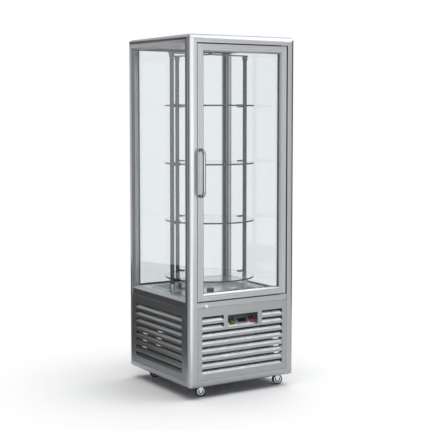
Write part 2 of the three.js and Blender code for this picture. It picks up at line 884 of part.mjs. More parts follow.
for (const [name, lens] of [["power", redLens], ["light", greenLens]]) {
  piece(name + "_switch_housing", switchHousing(switchXs[name]), blackPlastic, plateFrame);
  const button = piece(name + "_rocker", rocker(), lens, plateFrame);
  button.position.set(switchXs[name], rockerPivotDepth, -controlDrop);
  button.rotation.x = -rockerTilt;
}

const controller = cut(
  join(
    block(
      around(controlShift, controllerWidth / 2),
      [-seam - controllerBezel, -seam],
      around(-controlDrop, controllerHeight / 2),
    ),
    block(
      around(controlShift, controllerBodyWidth / 2),
      [-seam - controllerBezel / 2, controllerBodyDepth],
      around(-controlDrop, controllerBodyHeight / 2),
    ),
  ),
  block(
    around(controlShift, displayWidth / 2),
    [-seam - controllerBezel - overrun, -seam - controllerBezel + displayRecess],
    around(-controlDrop, displayHeight / 2),
  ),
);
piece("temperature_controller", controller, greyPlastic, plateFrame);

// Door: fluted mitred frame, pane set in its rebate, gasket on its back
const doorXs = around(0, doorHalfWidth);
const doorZs = [doorLow, doorHigh];
const groove = (inset) => [
  [inset - doorGroove, doorFront],
  [inset, doorFront + doorGroove],
  [inset + doorGroove, doorFront],
];
const doorSection = [
  [0, doorFront + doorChamfer],
  [doorChamfer, doorFront],
  ...groove(grooveOneInset),
  ...groove(grooveTwoInset),
  [doorBevelInset, doorFront],
  [doorMember, doorFront + doorBevelDrop],
  [doorMember, doorFront + doorLip],
  [doorRebate, doorFront + doorLip],
  [doorRebate, doorBack],
  [0, doorBack],
];
const hingeX = doorHalfWidth - hingeInset;
const hingeY = doorFront + hingeSetback;
const pinBore = (zs) => rod("z", [hingeX, hingeY], pinRadius + pinClearance, zs, smallSides);
const boreDepth = pinLength + fitGap;
const camPocket = block(
  [lockX - camWidth / 2 - camClearance, lockX + camReach + camClearance],
  [camLevel - camThickness - camClearance, camLevel + camClearance],
  [doorLow - overrun, lockZ + camReach + camClearance],
);
const doorFrame = cut(
  mitredRing(upright, doorXs, doorZs, doorSection),
  pinBore([doorLow - overrun, doorLow + boreDepth]),
  pinBore([doorHigh - boreDepth, doorHigh + overrun]),
  camPocket,
);
piece("door_frame", doorFrame, aluminium);

const doorPaneFront = doorFront + doorLip + seam;
const doorPane = block(
  around(0, doorHalfWidth - doorRebate - seam),
  [doorPaneFront, doorPaneFront + doorPaneThickness],
  [doorLow + doorRebate + seam, doorHigh - doorRebate - seam],
);
piece("door_glass", doorPane, clearGlass);

const gasketSection = [
  [gasketInset, doorBack],
  [gasketInset + gasketWidth, doorBack],
  [gasketInset + gasketWidth - gasketTaper, jambFront - seam],
  [gasketInset + gasketTaper, jambFront - seam],
];
piece("door_gasket", mitredRing(upright, doorXs, doorZs, gasketSection), greyPlastic);

// Door jamb, fixed behind the front posts
const jambSection = [
  [0, jambFront],
  [jambWidth, jambFront],
  [jambWidth, jambBack],
  [0, jambBack],
];
const jambXs = around(0, halfWidth - postFace + jambOverlap);
piece("door_jamb", mitredRing(upright, jambXs, [midTop, topRailLow], jambSection), greyPlastic);

// Hinge brackets with their pins
function hingeBracket(plateFace, pinEnd) {
  const towards = Math.sign(pinEnd - plateFace);
  const plate = block(
    [doorHalfWidth - bracketWidth, doorHalfWidth],
    [doorFront + bracketEdge, doorFront + bracketEdge + bracketDepth],
    span(plateFace, plateFace + towards * bracketThickness),
  );
  return join(plate, rod("z", [hingeX, hingeY], pinRadius, span(plateFace, pinEnd), smallSides));
}
piece("hinge_bracket_top", hingeBracket(topRailLow, doorHigh - pinLength), zinc);
piece("hinge_bracket_bottom", hingeBracket(midTop, doorLow + pinLength), zinc);

// Bow handle: one bent bar, its feet on the door's left stile
class BowCurve extends THREE.Curve {
  getPoint(share, target = new THREE.Vector3()) {
    const arc = (handleBend * Math.PI) / 2;
    const leg = handleReach - handleBend;
    const bar = handleSpan - 2 * handleBend;
    const total = 2 * (arc + leg) + bar;
    const half = total / 2;
    const fromMiddle = share * total - half;
    const run = Math.abs(fromMiddle);
    const side = Math.sign(fromMiddle);
    let out = handleReach;
    let up = run;
    if (run > bar / 2) {
      const angle = Math.min((run - bar / 2) / handleBend, Math.PI / 2);
      up = bar / 2 + handleBend * Math.sin(angle);
      out = leg + handleBend * Math.cos(angle) - Math.max(0, run - bar / 2 - arc);
    }
    return target.set(0, -out, side * up);
  }
}
const handleShape = new THREE.Shape(circle([0, 0], handleRadius, handleSides).map(([a, b]) => new THREE.Vector2(a, b)));
const handleTube = new THREE.ExtrudeGeometry(handleShape, {
  steps: handleSteps,
  extrudePath: new BowCurve(),
  bevelEnabled: false,
});
const handle = piece("door_handle", facingOut(handleTube), chrome);
handle.position.set(handleInset - doorHalfWidth, doorFront - seam, handleHeight);

// Lock barrel with its cam. The cam lies sideways when open and turns up into the door when locked.
const lockFace = midRailRecess - halfDepth;
const lockBarrel = join(
  rod("y", [lockX, lockZ], lockHeadRadius, [lockFace - seam - lockHeadLength, lockFace - seam]),
  rod("y", [lockX, lockZ], lockShankRadius, [lockFace - seam - lockHeadLength, camLevel], smallSides),
  block([lockX, lockX + camReach], [camLevel - camThickness, camLevel], around(lockZ, camWidth / 2)),
);
piece("lock_barrel", lockBarrel, chrome);

// Deck with air slots round its border, and the recessed tray in it
const deckHalfX = paneInnerX - fitGap;
const deckYs = [jambBack + fitGap, paneInnerY - fitGap];
const deckZs = [midTop, deckTop];
const past = [midTop - overrun, deckTop + overrun];
const airSlotHalf = trayHalfWidth - airSlotEndInset;
const slotYs = [deckYs[0] + airSlotInset - airSlotWidth, deckYs[1] - airSlotInset];
const slotXs = [airSlotInset - deckHalfX, deckHalfX - airSlotInset - airSlotWidth];
const deck = cut(
  block(around(0, deckHalfX), deckYs, deckZs),
  block(around(0, trayHalfWidth), around(rackY, trayHalfWidth), past),
  ...slotYs.map((y) => block(around(0, airSlotHalf), [y, y + airSlotWidth], past)),
  ...slotXs.map((x) => block([x, x + airSlotWidth], around(rackY, airSlotHalf), past)),
  ...corners.map(([, x, y]) => prism("z", postOutline(x, y, seam), past)),
);
piece("deck", deck, stainless);

const trayFloor = midTop - trayFloorDrop;
const tray = cut(
  join(
    block(around(0, trayHalfWidth - seam), around(rackY, trayHalfWidth - seam), [trayFloor, deckTop + trayWall]),
    block(
      around(0, trayHalfWidth + trayFlange),
      around(rackY, trayHalfWidth + trayFlange),
      [deckTop, deckTop + trayWall],
    ),
  ),
  block(
    around(0, trayHalfWidth - seam - trayWall),
    around(rackY, trayHalfWidth - seam - trayWall),
    [trayFloor + trayWall, deckTop + trayWall + overrun],
  ),
  rod("z", [0, rackY], shaftHoleRadius, [trayFloor - overrun, trayFloor + overrun]),
);
piece("deck_tray", tray, stainless);

// Revolving rack. Each arm is drawn along +X from the rack's axis and turned to its upright.
const armLow = trayFloor + trayWall + armFloorGap;
const armHigh = deckTop + trayWall + armLift;
const uprightAngles = [0, 1, 2].map((quarter) => uprightTurn + (quarter * Math.PI) / 2);
const footReach = uprightCircle + footRadius;
const toRack = move(0, rackY, 0);
const turnedToUpright = (geometry, angle) => placed(geometry, new THREE.Matrix4().multiplyMatrices(toRack, turnZ(angle)));
const uprightLow = armHigh + armThickness + seam;
const topArmHigh = topRailLow - topArmDrop;
const topArmLow = topArmHigh - armThickness;
const uprightHigh = topArmLow - seam;
const socketBore = uprightRadius + uprightGap;

function lowerArm() {
  const riserInner = armRiserRadius - armThickness;
  const outline = [
    [0, armLow],
    [armRiserRadius, armLow],
    [armRiserRadius, armHigh],
    [footReach, armHigh],
    [footReach, armHigh + armThickness],
    [riserInner, armHigh + armThickness],
    [riserInner, armLow + armThickness],
    [0, armLow + armThickness],
  ];
  return join(
    prism("y", outline, around(0, armWidth / 2)),
    rod("z", [uprightCircle, 0], footRadius, [armHigh, armHigh + armThickness + footHeight]),
  );
}
const footBore = rod("z", [uprightCircle, 0], socketBore, [
  armHigh + armThickness,
  armHigh + armThickness + footHeight + overrun,
]);
const lowerSpider = cut(
  join(
    rod("z", [0, rackY], hubRadius, [armLow, armLow + armThickness]),
    rod("z", [0, rackY], knobRadius, [armLow, armLow + armThickness + knobHeight]),
    rod("z", [0, rackY], shaftRadius, [armLow - shaftDrop, armLow + armThickness], smallSides),
    ...uprightAngles.map((angle) => turnedToUpright(lowerArm(), angle)),
  ),
  ...uprightAngles.map((angle) => turnedToUpright(footBore, angle)),
);
piece("lower_spider", lowerSpider, stainless);

function upperArm() {
  return join(
    block([0, uprightCircle + footRadius], around(0, topArmWidth / 2), [topArmLow, topArmHigh]),
    rod("z", [uprightCircle, 0], footRadius, [topArmLow - socketHeight, topArmHigh]),
  );
}
const socketHole = rod("z", [uprightCircle, 0], socketBore, [topArmLow - socketHeight - overrun, topArmLow]);
const upperSpider = cut(
  join(
    rod("z", [0, rackY], topHubRadius, [topArmLow, topArmHigh]),
    rod("z", [0, rackY], topPinRadius, [topArmLow, topArmHigh + topPinLength], smallSides),
    ...uprightAngles.map((angle) => turnedToUpright(upperArm(), angle)),
  ),
  ...uprightAngles.map((angle) => turnedToUpright(socketHole, angle)),
);
piece("upper_spider", upperSpider, blackPlastic);

// Uprights with a jaw at every shelf, and the shelves
const shelfLow = (shelf) => deckTop + firstShelfRise + shelf * shelfSpacing;
const shelves = Array.from({ length: shelfCount }, (_, shelf) => shelf);
const throat = shelfRadius + jawThroatGap;
function rackUpright() {
  const jaws = shelves.map((shelf) =>
    block([jawInner, uprightCircle], around(0, jawWidth / 2), [
      shelfLow(shelf) - jawBottom,
      shelfLow(shelf) + shelfThickness + jawTop,
    ]),
  );
  const throats = shelves.map((shelf) =>
    block([jawInner - overrun, throat], around(0, jawWidth / 2 + overrun), [
      shelfLow(shelf) - seam,
      shelfLow(shelf) + shelfThickness + seam,
    ]),
  );
  const bar = rod("z", [uprightCircle, 0], uprightRadius, [uprightLow, uprightHigh]);
  return cut(join(bar, ...jaws), ...throats);
}
uprightAngles.forEach((angle, i) => {
  piece("rack_upright_" + (i + 1), turnedToUpright(rackUpright(), angle), chrome);
});
for (const shelf of shelves) {
  const disc = rod("z", [0, rackY], shelfRadius, [shelfLow(shelf), shelfLow(shelf) + shelfThickness], fineSides);
  piece("glass_shelf_" + (shelf + 1), disc, shelfGlass);
}

// Chassis pan, inside the base frame, with a hole for each caster's stud
const casterX = halfWidth - casterInset;
const casterY = halfDepth - casterInset;
const studHole = studRadius + fitGap;
const panHalfX = halfWidth - railDepth - fitGap;
const panHalfY = halfDepth - railDepth - fitGap;
const pan = cut(
  block(around(0, panHalfX), around(0, panHalfY), [panLow, panLow + panFlange]),
  block(around(0, panHalfX - panThickness), around(0, panHalfY - panThickness), [panTop, panTop + panFlange]),
  ...corners.map(([, x, y]) =>
    rod("z", [x * casterX, y * casterY], studHole, [panLow - overrun, panTop + overrun], smallSides),
  ),
);
piece("chassis_pan", pan, zinc);

// Gearmotor under the tray, hung from a bridge across the mid frame
const gearTop = midLow - bridgeThickness;
const gearmotor = cut(
  join(
    block(around(0, bridgeHalfLength), around(rackY, bridgeWidth / 2), [gearTop, midLow]),
    rod("z", [0, rackY], gearboxRadius, [gearTop - gearboxHeight, midLow]),
    rod("z", [0, rackY], motorRadius, [gearTop - gearboxHeight - motorHeight, gearTop]),
    rod("z", [0, rackY], bossRadius, [gearTop, midLow + bossHeight], smallSides),
  ),
  rod(
    "z",
    [0, rackY],
    shaftRadius + shaftClearance,
    [armLow - shaftDrop - shaftClearance, midLow + bossHeight + overrun],
    smallSides,
  ),
);
piece("gearmotor", gearmotor, blackEnamel);

// Compressor: a welded shell on a foot plate with rubber feet
const shellLow = panTop + compressorFootLift;
const shell = turned([
  [0, shellLow],
  [compressorWaist, shellLow],
  [compressorRadius, shellLow + compressorDome / 2],
  [compressorRadius, shellLow + compressorBody],
  [compressorWaist, shellLow + compressorBody + compressorDome / 2],
  [0, shellLow + compressorBody + compressorDome],
]);
const footSpots = [-1, 1].flatMap((x) =>
  [-1, 1].map((y) => [
    x * (compressorFoot / 2 - footRubberRadius),
    y * (compressorFootDepth / 2 - footRubberRadius),
  ]),
);
const compressor = join(
  shell,
  block(around(0, compressorFoot / 2), around(0, compressorFootDepth / 2), [shellLow, shellLow + sheet]),
  ...footSpots.map((spot) => rod("z", spot, footRubberRadius, [panTop, shellLow + sheet], smallSides)),
  block(
    around(0, terminalBox / 2),
    [-compressorRadius - terminalBoxDepth, 0],
    around(shellLow + compressorBody / 2, terminalBox / 2),
  ),
);
piece("compressor", compressor, blackEnamel).position.set(compressorX, compressorY, 0);

// An axial fan rotor about Y, hub and pitched blades, with a blind bore for its motor's shaft
function fanRotor(radius, hub, deep, shaft) {
  const bladeLength = radius - hub / 2;
  const blade = new THREE.BoxGeometry(bladeLength, bladeThickness, deep);
  blade.rotateX(bladePitch);
  blade.translate(hub / 2 + bladeLength / 2, 0, 0);
  const blades = Array.from({ length: bladeCount }, (_, i) =>
    placed(blade, turnZ((i * 2 * Math.PI) / bladeCount)),
  );
  const rotor = cut(
    join(rod("z", [0, 0], hub, around(0, deep / 2)), ...blades),
    rod("z", [0, 0], shaft + shaftClearance, [-deep, deep / 4], smallSides),
  );
  return rotor.rotateX(Math.PI / 2);
}

// A fan's box: side walls, a plate with the fan's hole, and the motor on arms across it, its shaft towards -Y
function fanBox([x, z], halfX, halfZ, [front, back], hole, motor, motorLength, shaft, shaftReach, towards) {
  const plateAt = towards > 0 ? back : front;
  const plate = prism(
    "y",
    rectangle(around(x, halfX), around(z, halfZ)),
    span(plateAt, plateAt - towards * shroudWall),
    [circle([x, z], hole, roundSides)],
  );
  const walls = prism("y", rectangle(around(x, halfX), around(z, halfZ)), [front, back], [
    rectangle(around(x, halfX - shroudWall), around(z, halfZ - shroudWall)),
  ]);
  const armYs = span(plateAt, plateAt - towards * shroudWall);
  return join(
    plate,
    walls,
    block(around(x, hole + shroudWall), armYs, around(z, fanArm / 2)),
    block(around(x, fanArm / 2), armYs, around(z, hole + shroudWall)),
    rod("y", [x, z], motor, span(plateAt - towards * shroudWall, plateAt + towards * motorLength)),
    rod("y", [x, z], shaft, span(plateAt, plateAt - towards * shaftReach), smallSides),
  );
}

// Condenser: finned coil behind the front louvres with its fan shroud and motor
const coilXs = around(coilCentreX, coilHalfWidth);
const coilFront = coilSetback - halfDepth;
const coilZs = [panTop, panTop + coilHeight];
const shroudFront = coilFront + coilDepth;
const fanCentre = [coilCentreX, (coilZs[0] + coilZs[1]) / 2];
const shroudBack = shroudFront + shroudDepth;
const fanMiddle = (shroudFront + shroudBack - shroudWall) / 2;
const condenser = join(
  block(coilXs, [coilFront, shroudFront], coilZs),
  fanBox(
    fanCentre,
    coilHalfWidth,
    coilHeight / 2,
    [shroudFront, shroudBack],
    fanHoleRadius,
    fanMotorRadius,
    fanMotorDepth,
    fanShaftRadius,
    shroudBack - fanMiddle,
    1,
  ),
);
piece("condenser", condenser, coilMetal);
const condenserFan = fanRotor(fanRadius, fanHub, fanDepth, fanShaftRadius);
piece("condenser_fan", condenserFan, blackPlastic).position.set(fanCentre[0], fanMiddle, fanCentre[1]);

// Evaporator: finned coil under the rear of the deck, with its fan in a plenum in front of it
const evaporatorBack = halfDepth - evaporatorSetback;
const evaporatorFront = evaporatorBack - evaporatorDepth;
const plenumFront = evaporatorFront - plenumDepth;
const evaporatorZs = [midLow - seam - evaporatorHeight, midLow - seam];
const coldCentre = [0, (evaporatorZs[0] + evaporatorZs[1]) / 2];
const coldMiddle = (plenumFront + shroudWall + evaporatorFront) / 2;
const evaporator = join(
  block(around(0, evaporatorHalfWidth), [evaporatorFront, evaporatorBack], evaporatorZs),
  fanBox(
    coldCentre,
    evaporatorHalfWidth,
    evaporatorHeight / 2,
    [plenumFront, evaporatorFront],
    coldFanHole,
    coldMotorRadius,
    coldMotorDepth,
    fanShaftRadius,
    coldMiddle - plenumFront,
    -1,
  ),
);
piece("evaporator", evaporator, coilMetal);
const coldFan = fanRotor(coldFanRadius, coldFanHub, coldFanDepth, fanShaftRadius);
const evaporatorFan = piece("evaporator_fan", coldFan, blackPlastic);
evaporatorFan.position.set(coldCentre[0], coldMiddle, coldCentre[1]);
evaporatorFan.rotation.z = Math.PI;

// Swivel casters. In a caster's own frame the stud is on Z and the wheel trails along +X.
const flatRadius = wheelRadius / Math.cos(Math.PI / roundSides);
const crownLow = 2 * wheelRadius + crownLift;
const crownHigh = crownLow + crownThickness;
const boreRadius = axleRadius + axleClearance;
const wheelProfile = [
  [boreRadius, -wheelHalfWidth],
  [wheelHub, -wheelHalfWidth],
  [wheelHub, -wheelHalfWidth + rimRecess],
  [rimRadius, -wheelHalfWidth + rimRecess],
  [rimRadius, -wheelHalfWidth],
  [flatRadius - wheelShoulder, -wheelHalfWidth],
  [flatRadius, -wheelHalfWidth + wheelShoulder],
  [flatRadius, wheelHalfWidth - wheelShoulder],
  [flatRadius - wheelShoulder, wheelHalfWidth],
  [rimRadius, wheelHalfWidth],
  [rimRadius, wheelHalfWidth - rimRecess],
  [wheelHub, wheelHalfWidth - rimRecess],
  [wheelHub, wheelHalfWidth],
  [boreRadius, wheelHalfWidth],
  [boreRadius, -wheelHalfWidth],
];
const wheel = turned(wheelProfile, roundSides, Math.PI / roundSides).rotateX(Math.PI / 2);

function casterFork() {
  const legInner = wheelHalfWidth + legGap;
  const legOuter = legInner + legThickness;
  const legOutline = [
    [casterTrail - legTop, crownHigh],
    [casterTrail - legTop, crownLow],
    [casterTrail - legEnd, wheelRadius],
    [casterTrail - legEnd / 2, wheelRadius - legEnd],
    [casterTrail + legEnd / 2, wheelRadius - legEnd],
    [casterTrail + legEnd, wheelRadius],
    [casterTrail + legTop, crownLow],
    [casterTrail + legTop, crownHigh],
  ];
  const legs = [-1, 1].map((side) => prism("y", legOutline, span(side * legInner, side * legOuter)));
  return join(
    block([-crownFront, casterTrail + crownBack], around(0, legOuter), [crownLow, crownHigh]),
    ...legs,
    rod("y", [casterTrail, wheelRadius], axleRadius, around(0, legOuter), smallSides),
    rod("z", [0, 0], raceRadius, [crownLow, panLow - seam]),
    rod("z", [0, 0], studRadius, [crownLow, panTop + studHeight], smallSides),
    rod("z", [0, 0], nutRadius, [panTop + seam, panTop + studHeight], smallSides),
  );
}

for (const [corner, sideX, sideY] of corners) {
  const caster = new THREE.Group();
  caster.position.set(sideX * casterX, sideY * casterY, 0);
  caster.rotation.z = casterTurn;
  cabinet.add(caster);
  piece("caster_fork_" + corner, casterFork(), chrome, caster);
  piece("caster_wheel_" + corner, wheel, rubber, caster).position.set(casterTrail, 0, wheelRadius);
}

export default cabinet;
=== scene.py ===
"""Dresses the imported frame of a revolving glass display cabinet. Metres; X right, Y to the rear, Z up."""

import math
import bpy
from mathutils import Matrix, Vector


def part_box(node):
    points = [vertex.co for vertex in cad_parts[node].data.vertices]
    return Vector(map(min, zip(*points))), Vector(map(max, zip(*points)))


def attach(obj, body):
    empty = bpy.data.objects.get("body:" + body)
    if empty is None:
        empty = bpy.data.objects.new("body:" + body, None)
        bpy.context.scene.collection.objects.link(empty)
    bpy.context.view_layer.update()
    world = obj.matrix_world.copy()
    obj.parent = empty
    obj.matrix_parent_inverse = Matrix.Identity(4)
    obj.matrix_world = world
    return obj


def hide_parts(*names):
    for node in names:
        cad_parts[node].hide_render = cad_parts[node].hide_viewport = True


bl_info = {
    "name": "Revolving Display Cabinet",
    "version": (1, 0, 0),
    "blender": (4, 5, 0),
    "location": "3D View > Sidebar > Cabinet",
    "description": "Builds the visible pieces of a refrigerated glass display cabinet on casters",
    "category": "Object",
}

import bmesh
import bpy
from bpy.props import FloatProperty, FloatVectorProperty, PointerProperty
from bpy.types import Operator, Panel, PropertyGroup
from mathutils import Matrix, Vector

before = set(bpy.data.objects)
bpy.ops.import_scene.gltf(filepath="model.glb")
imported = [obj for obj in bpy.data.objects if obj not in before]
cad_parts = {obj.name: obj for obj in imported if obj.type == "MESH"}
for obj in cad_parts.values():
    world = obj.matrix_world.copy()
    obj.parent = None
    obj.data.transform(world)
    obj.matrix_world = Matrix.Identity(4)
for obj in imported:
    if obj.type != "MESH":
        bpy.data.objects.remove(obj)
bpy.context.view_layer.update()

MM = 0.001
CORNERS = ("front_left", "front_right", "rear_left", "rear_right")
SMOOTH_ANGLE = math.radians(38)
WELD = 0.00001
FLAT_ANGLE = math.radians(0.4)
# A face whose normal has this much along a way faces that way.
FACING = 0.9
# A Wave texture repeats after this many metres at scale 1.
WAVE = math.pi / 10
# The camera, as fitted to the cabinet's edges in the photograph.
CAMERA_PLACE = (-3.07505, -4.92296, 1.46200)
CAMERA_DIP = math.radians(4.635)
CAMERA_TURN = math.radians(-32.121)
CAMERA_LENS = 90.78
CAMERA_SENSOR = 36
CAMERA_SHIFT = -15 / 430
# The casters' axles stand turned by this angle from the rear at rest.
AXLE_TURN = math.radians(20)
# The upright profiles begin this far from the ends of a bead and of the door.
BEAD_MITRE = 40 * MM
DOOR_MITRE = 60 * MM
# Flat pieces on the controls: half width, half height, foot and top above the surface that they lie on.
KEY = (3.2 * MM, 3.6 * MM, -0.2 * MM, 0.35 * MM)
ON_BAR = (0.45 * MM, 2.8 * MM, -0.05 * MM, 0.12 * MM)
# Insets and pushes in millimetres that turn a wheel's flank into its tyre, rim, dish, hub and axle end.
WHEEL_PROFILE = ((7.3, 0), (0.3, 0.4), (4.9, -5), (6.3, 4.6), (3.6, -1.2))


def linear(hex_colour):
    """Turns an sRGB hex colour into linear red, green and blue."""
    parts = [int(hex_colour[i : i + 2], 16) / 255 for i in (1, 3, 5)]
    return tuple(p / 12.92 if p <= 0.04045 else ((p + 0.055) / 1.055) ** 2.4 for p in parts)


def length(name, description, millimetres):
    """A size in millimetres, kept in metres."""
    return FloatProperty(
        name=name, description=description, default=millimetres * MM, min=0, precision=5, unit="LENGTH"
    )


def colour(name, description, hex_colour):
    """A colour, written as sRGB hex and kept linear."""
    return FloatVectorProperty(
        name=name,
        description=description,
        default=linear(hex_colour),
        subtype="COLOR",
        size=3,
        min=0,
        max=1,
    )


class CabinetSizes(PropertyGroup):
    """Sizes that the visible pieces take, beyond those of the frame."""

    profile_edge: length("Profile edge", "Rounding of the frame profiles' edges", 0.7)
    sheet_edge: length("Sheet edge", "Rounding of the folded sheet's edges", 0.35)
    glass_edge: length("Glass edge", "Ground chamfer of the glass edges", 1.0)
    plastic_edge: length("Plastic edge", "Rounding of the moulded plastic's edges", 0.5)
    handle_bend: length("Handle bend", "Bend radius of the handle's bar", 24)
    handle_foot: length("Handle foot", "Radius of the handle's feet", 9.3)
    foot_depth: length("Foot depth", "How far the handle's feet stand off the door", 3.2)
    fin_pitch: length("Fin pitch", "Distance between the coils' fins", 3.2)
    screw_head: length("Screw head", "Radius of the screw heads", 3.4)
    screw_margin: length("Screw margin", "From the panel's edge to its screws", 14)
    knob: length("Knob", "Radius of the knob on the rack's hub", 20)
    wheel_width: length("Wheel width", "Width of the casters' wheels", 22)
    plate_tilt: FloatProperty(
        name="Plate tilt",
        description="Lean of the control plate",
        default=math.radians(42.089),
        unit="ROTATION",
    )


class CabinetColours(PropertyGroup):
    """Colours of the cabinet's finishes."""

    aluminium: colour("Aluminium", "Satin anodised frame", "#a7a9ac")
    powder: colour("Powder coat", "Silver-grey powder coat of the panels", "#9c9ea0")
    steel: colour("Stainless steel", "Deck, tray and rack arms", "#e6e8ea")
    chrome: colour("Chrome", "Lock, casters and handle's feet", "#dcdfe1")
    bar: colour("Polished bar", "Handle's bar", "#8f9194")
    satin: colour("Satin chrome", "Rack uprights", "#66686b")
    zinc: colour("Zinc plate", "Brackets and chassis", "#a9adb0")
    jamb: colour("Jamb plastic", "Door jamb", "#a6aaac")
    grey: colour("Grey plastic", "Controller's bezel", "#a3a6a8")
    gasket: colour("Gasket", "Door gasket", "#5e6265")
    black: colour("Black plastic", "Controls and fans", "#18191b")
    display: colour("Display", "Smoked window of the controller", "#08090a")
    red: colour("Red lens", "Power rocker", "#c62d4c")
    green: colour("Green lens", "Light rocker", "#848d42")
    print: colour("Print", "Marks on the rockers", "#e8e8e4")
    opal: colour("Opal acrylic", "Lamp's diffuser", "#eef0ef")
    pane: colour("Float glass", "Tint of the panes", "#f1f4f5")
    spacer: colour("Spacer", "Bar round the edge of a sealed pane", "#ced0d2")
    shelf: colour("Shelf glass", "Tint of the shelves", "#eef4f3")
    rim: colour("Shelf rim", "Ground edge of the shelves", "#4d5a58")
    coil: colour("Coil", "Aluminium fins", "#9a9fa3")
    enamel: colour("Black enamel", "Compressor and gearmotor", "#1d1f21")
    tyre: colour("Tyre", "Casters' treads", "#2c2d2f")


def add(tree, kind, sockets=(), **settings):
    """Adds one shader node with its settings. A socket takes a value, or a link from another's output."""
    node = tree.nodes.new("ShaderNode" + kind)
    for name, value in settings.items():
        setattr(node, name, value)
    for name, value in dict(sockets).items():
        if isinstance(value, bpy.types.NodeSocket):
            tree.links.new(value, node.inputs[name])
        else:
            node.inputs[name].default_value = value
    return node


def any_ray(tree, *kinds):
    """1 for a ray of one of these kinds, else 0."""
    path = add(tree, "LightPath").outputs
    found = path[kinds[0]]
    for kind in kinds[1:]:
        found = add(tree, "Math", {0: found, 1: path[kind]}, operation="MAXIMUM").outputs[0]
    return found


def pattern(tree, millimetres, drawn=(1, 1, 1), detail=2.0):
    """Noise with grains about that many millimetres across, drawn out along the axes with small numbers."""
    place = add(tree, "TexCoord").outputs["Object"]
    scaled = add(tree, "Mapping", {"Vector": place, "Scale": drawn}).outputs["Vector"]
    noise = add(tree, "TexNoise", {"Vector": scaled, "Scale": 1 / (millimetres * MM), "Detail": detail})
    return noise.outputs["Fac"]


def textured(name, base, mottle, gloss, skin=None, drawn=(1, 1, 1), **values):
    """A Principled material whose colour, gloss and relief each follow a grain of a real size.

    mottle is a grain and a share of the colour, gloss a grain and two roughnesses, skin a grain and a
    height in micrometres. Other values go to the shader's own sockets.
    """
    material = bpy.data.materials.new(name)
    material.use_nodes = True
    tree = material.node_tree
    shader = tree.nodes["Principled BSDF"]
    for socket, value in values.items():
        shader.inputs[socket.replace("_", " ")].default_value = value
    # Most of a noise lies between these.
    middle = {"From Min": 0.3, "From Max": 0.7}
    grain, share = mottle
    dark, light = ([min(1, c * (1 + part)) for c in base] + [1] for part in (-share, share))
    level = add(tree, "MapRange", {**middle, "Value": pattern(tree, grain, drawn)}).outputs["Result"]
    tint = add(tree, "Mix", {0: level, 6: dark, 7: light}, data_type="RGBA").outputs[2]
    tree.links.new(tint, shader.inputs["Base Color"])
    if gloss:
        grain, low, high = gloss
        sockets = {**middle, "Value": pattern(tree, grain, drawn), "To Min": low, "To Max": high}
        tree.links.new(add(tree, "MapRange", sockets).outputs["Result"], shader.inputs["Roughness"])
    if skin:
        grain, height = skin
        sockets = {"Height": pattern(tree, grain, drawn), "Distance": height * 1e-6, "Strength": 0.5}
        tree.links.new(add(tree, "Bump", sockets).outputs["Normal"], shader.inputs["Normal"])
    return material


def ribbed_with_painted_shade(material, axis, pitch, height):
    """Adds ribs across an axis to a material: their relief, and painted shade, a darker line between two of
    them where the gap would be in shade.
    """
    tree = material.node_tree
    shader = tree.nodes["Principled BSDF"]
    sockets = {"Vector": add(tree, "TexCoord").outputs["Object"], "Scale": WAVE / pitch}
    wave = add(tree, "TexWave", sockets, bands_direction=axis).outputs["Fac"]
    bump = add(tree, "Bump", {"Height": wave, "Distance": height, "Strength": 0.8}).outputs["Normal"]
    tree.links.new(bump, shader.inputs["Normal"])
    plain = shader.inputs["Base Color"].links[0].from_socket
    # Painted shade: the colour darkens to near black in each trough between two ribs, where the gap is in
    # shade.
    level = add(tree, "MapRange", {"Value": wave, "To Min": 0.45, "To Max": 0}).outputs["Result"]
    shaded_gaps = add(tree, "Mix", {0: level, 6: plain, 7: (0.03, 0.03, 0.03, 1)}, data_type="RGBA").outputs[2]
    tree.links.new(shaded_gaps, shader.inputs["Base Color"])
    return material


def anodised_aluminium(base, along):
    """Extruded and anodised: faint die lines along the profile, a satin sheen, soft handling marks."""
    drawn = [0.02 if axis == along else 1 for axis in "xyz"]
    name = "anodised_aluminium_" + along
    return textured(name, base, (9, 0.015), (6, 0.27, 0.33), (1.2, 4), drawn, Metallic=0.95)


def powder_coat(base):
    """Silver polyester powder: orange-peel skin about 2 mm across, a fine metallic fleck and a low sheen."""
    mottle, gloss, skin = (0.9, 0.05), (45, 0.34, 0.42), (2.2, 22)
    return textured("silver_powder_coat", base, mottle, gloss, skin, Metallic=0.9)


def brushed_steel(name, base, along):
    """Stainless sheet brushed along one way: long scratches that stretch its highlights across them."""
    drawn = [0.015 if axis == along else 1 for axis in "xyz"]
    return textured(name, base, (3, 0.05), (0.8, 0.26, 0.42), (0.8, 8), drawn, Metallic=1.0)


def plated_chrome(base):
    """Bright nickel-chrome plate: a near mirror with faint wipe marks."""
    return textured("plated_chrome", base, (30, 0.02), (18, 0.07, 0.14), Metallic=1.0)


def polished_bar(name, base):
    """Rolled steel bar, polished and plated: its mirror is spread by fine lines from the belt."""
    return textured(name, base, (14, 0.08), (2.5, 0.16, 0.26), None, (1, 1, 0.03), Metallic=1.0)


def zinc_plate(base):
    """Passivated zinc on folded steel: dull, cloudy, in blotches of a few centimetres."""
    return textured("zinc_plate", base, (14, 0.1), (14, 0.34, 0.52), (1.1, 10), Metallic=1.0)


def moulded_plastic(name, base, gloss=0.45):
    """Moulded plastic: fine spark-eroded grain about 1 mm across that breaks up its sheen."""
    return textured(name, base, (1, 0.08), (25, gloss - 0.05, gloss + 0.08), (1, 18))


def rubber(name, base):
    """Vulcanised rubber: matt, with dusty lighter patches and a faint grain."""
    return textured(name, base, (12, 0.2), (9, 0.66, 0.86), (1.4, 30))


def lens(name, base, coat=0.4):
    """Clear-coloured polycarbonate: glossy, with light in its depth."""
    glow = {"Subsurface_Weight": 0.25, "Subsurface_Scale": 0.004, "Coat_Weight": coat}
    return textured(name, base, (6, 0.12), (10, 0.12, 0.22), None, **glow)


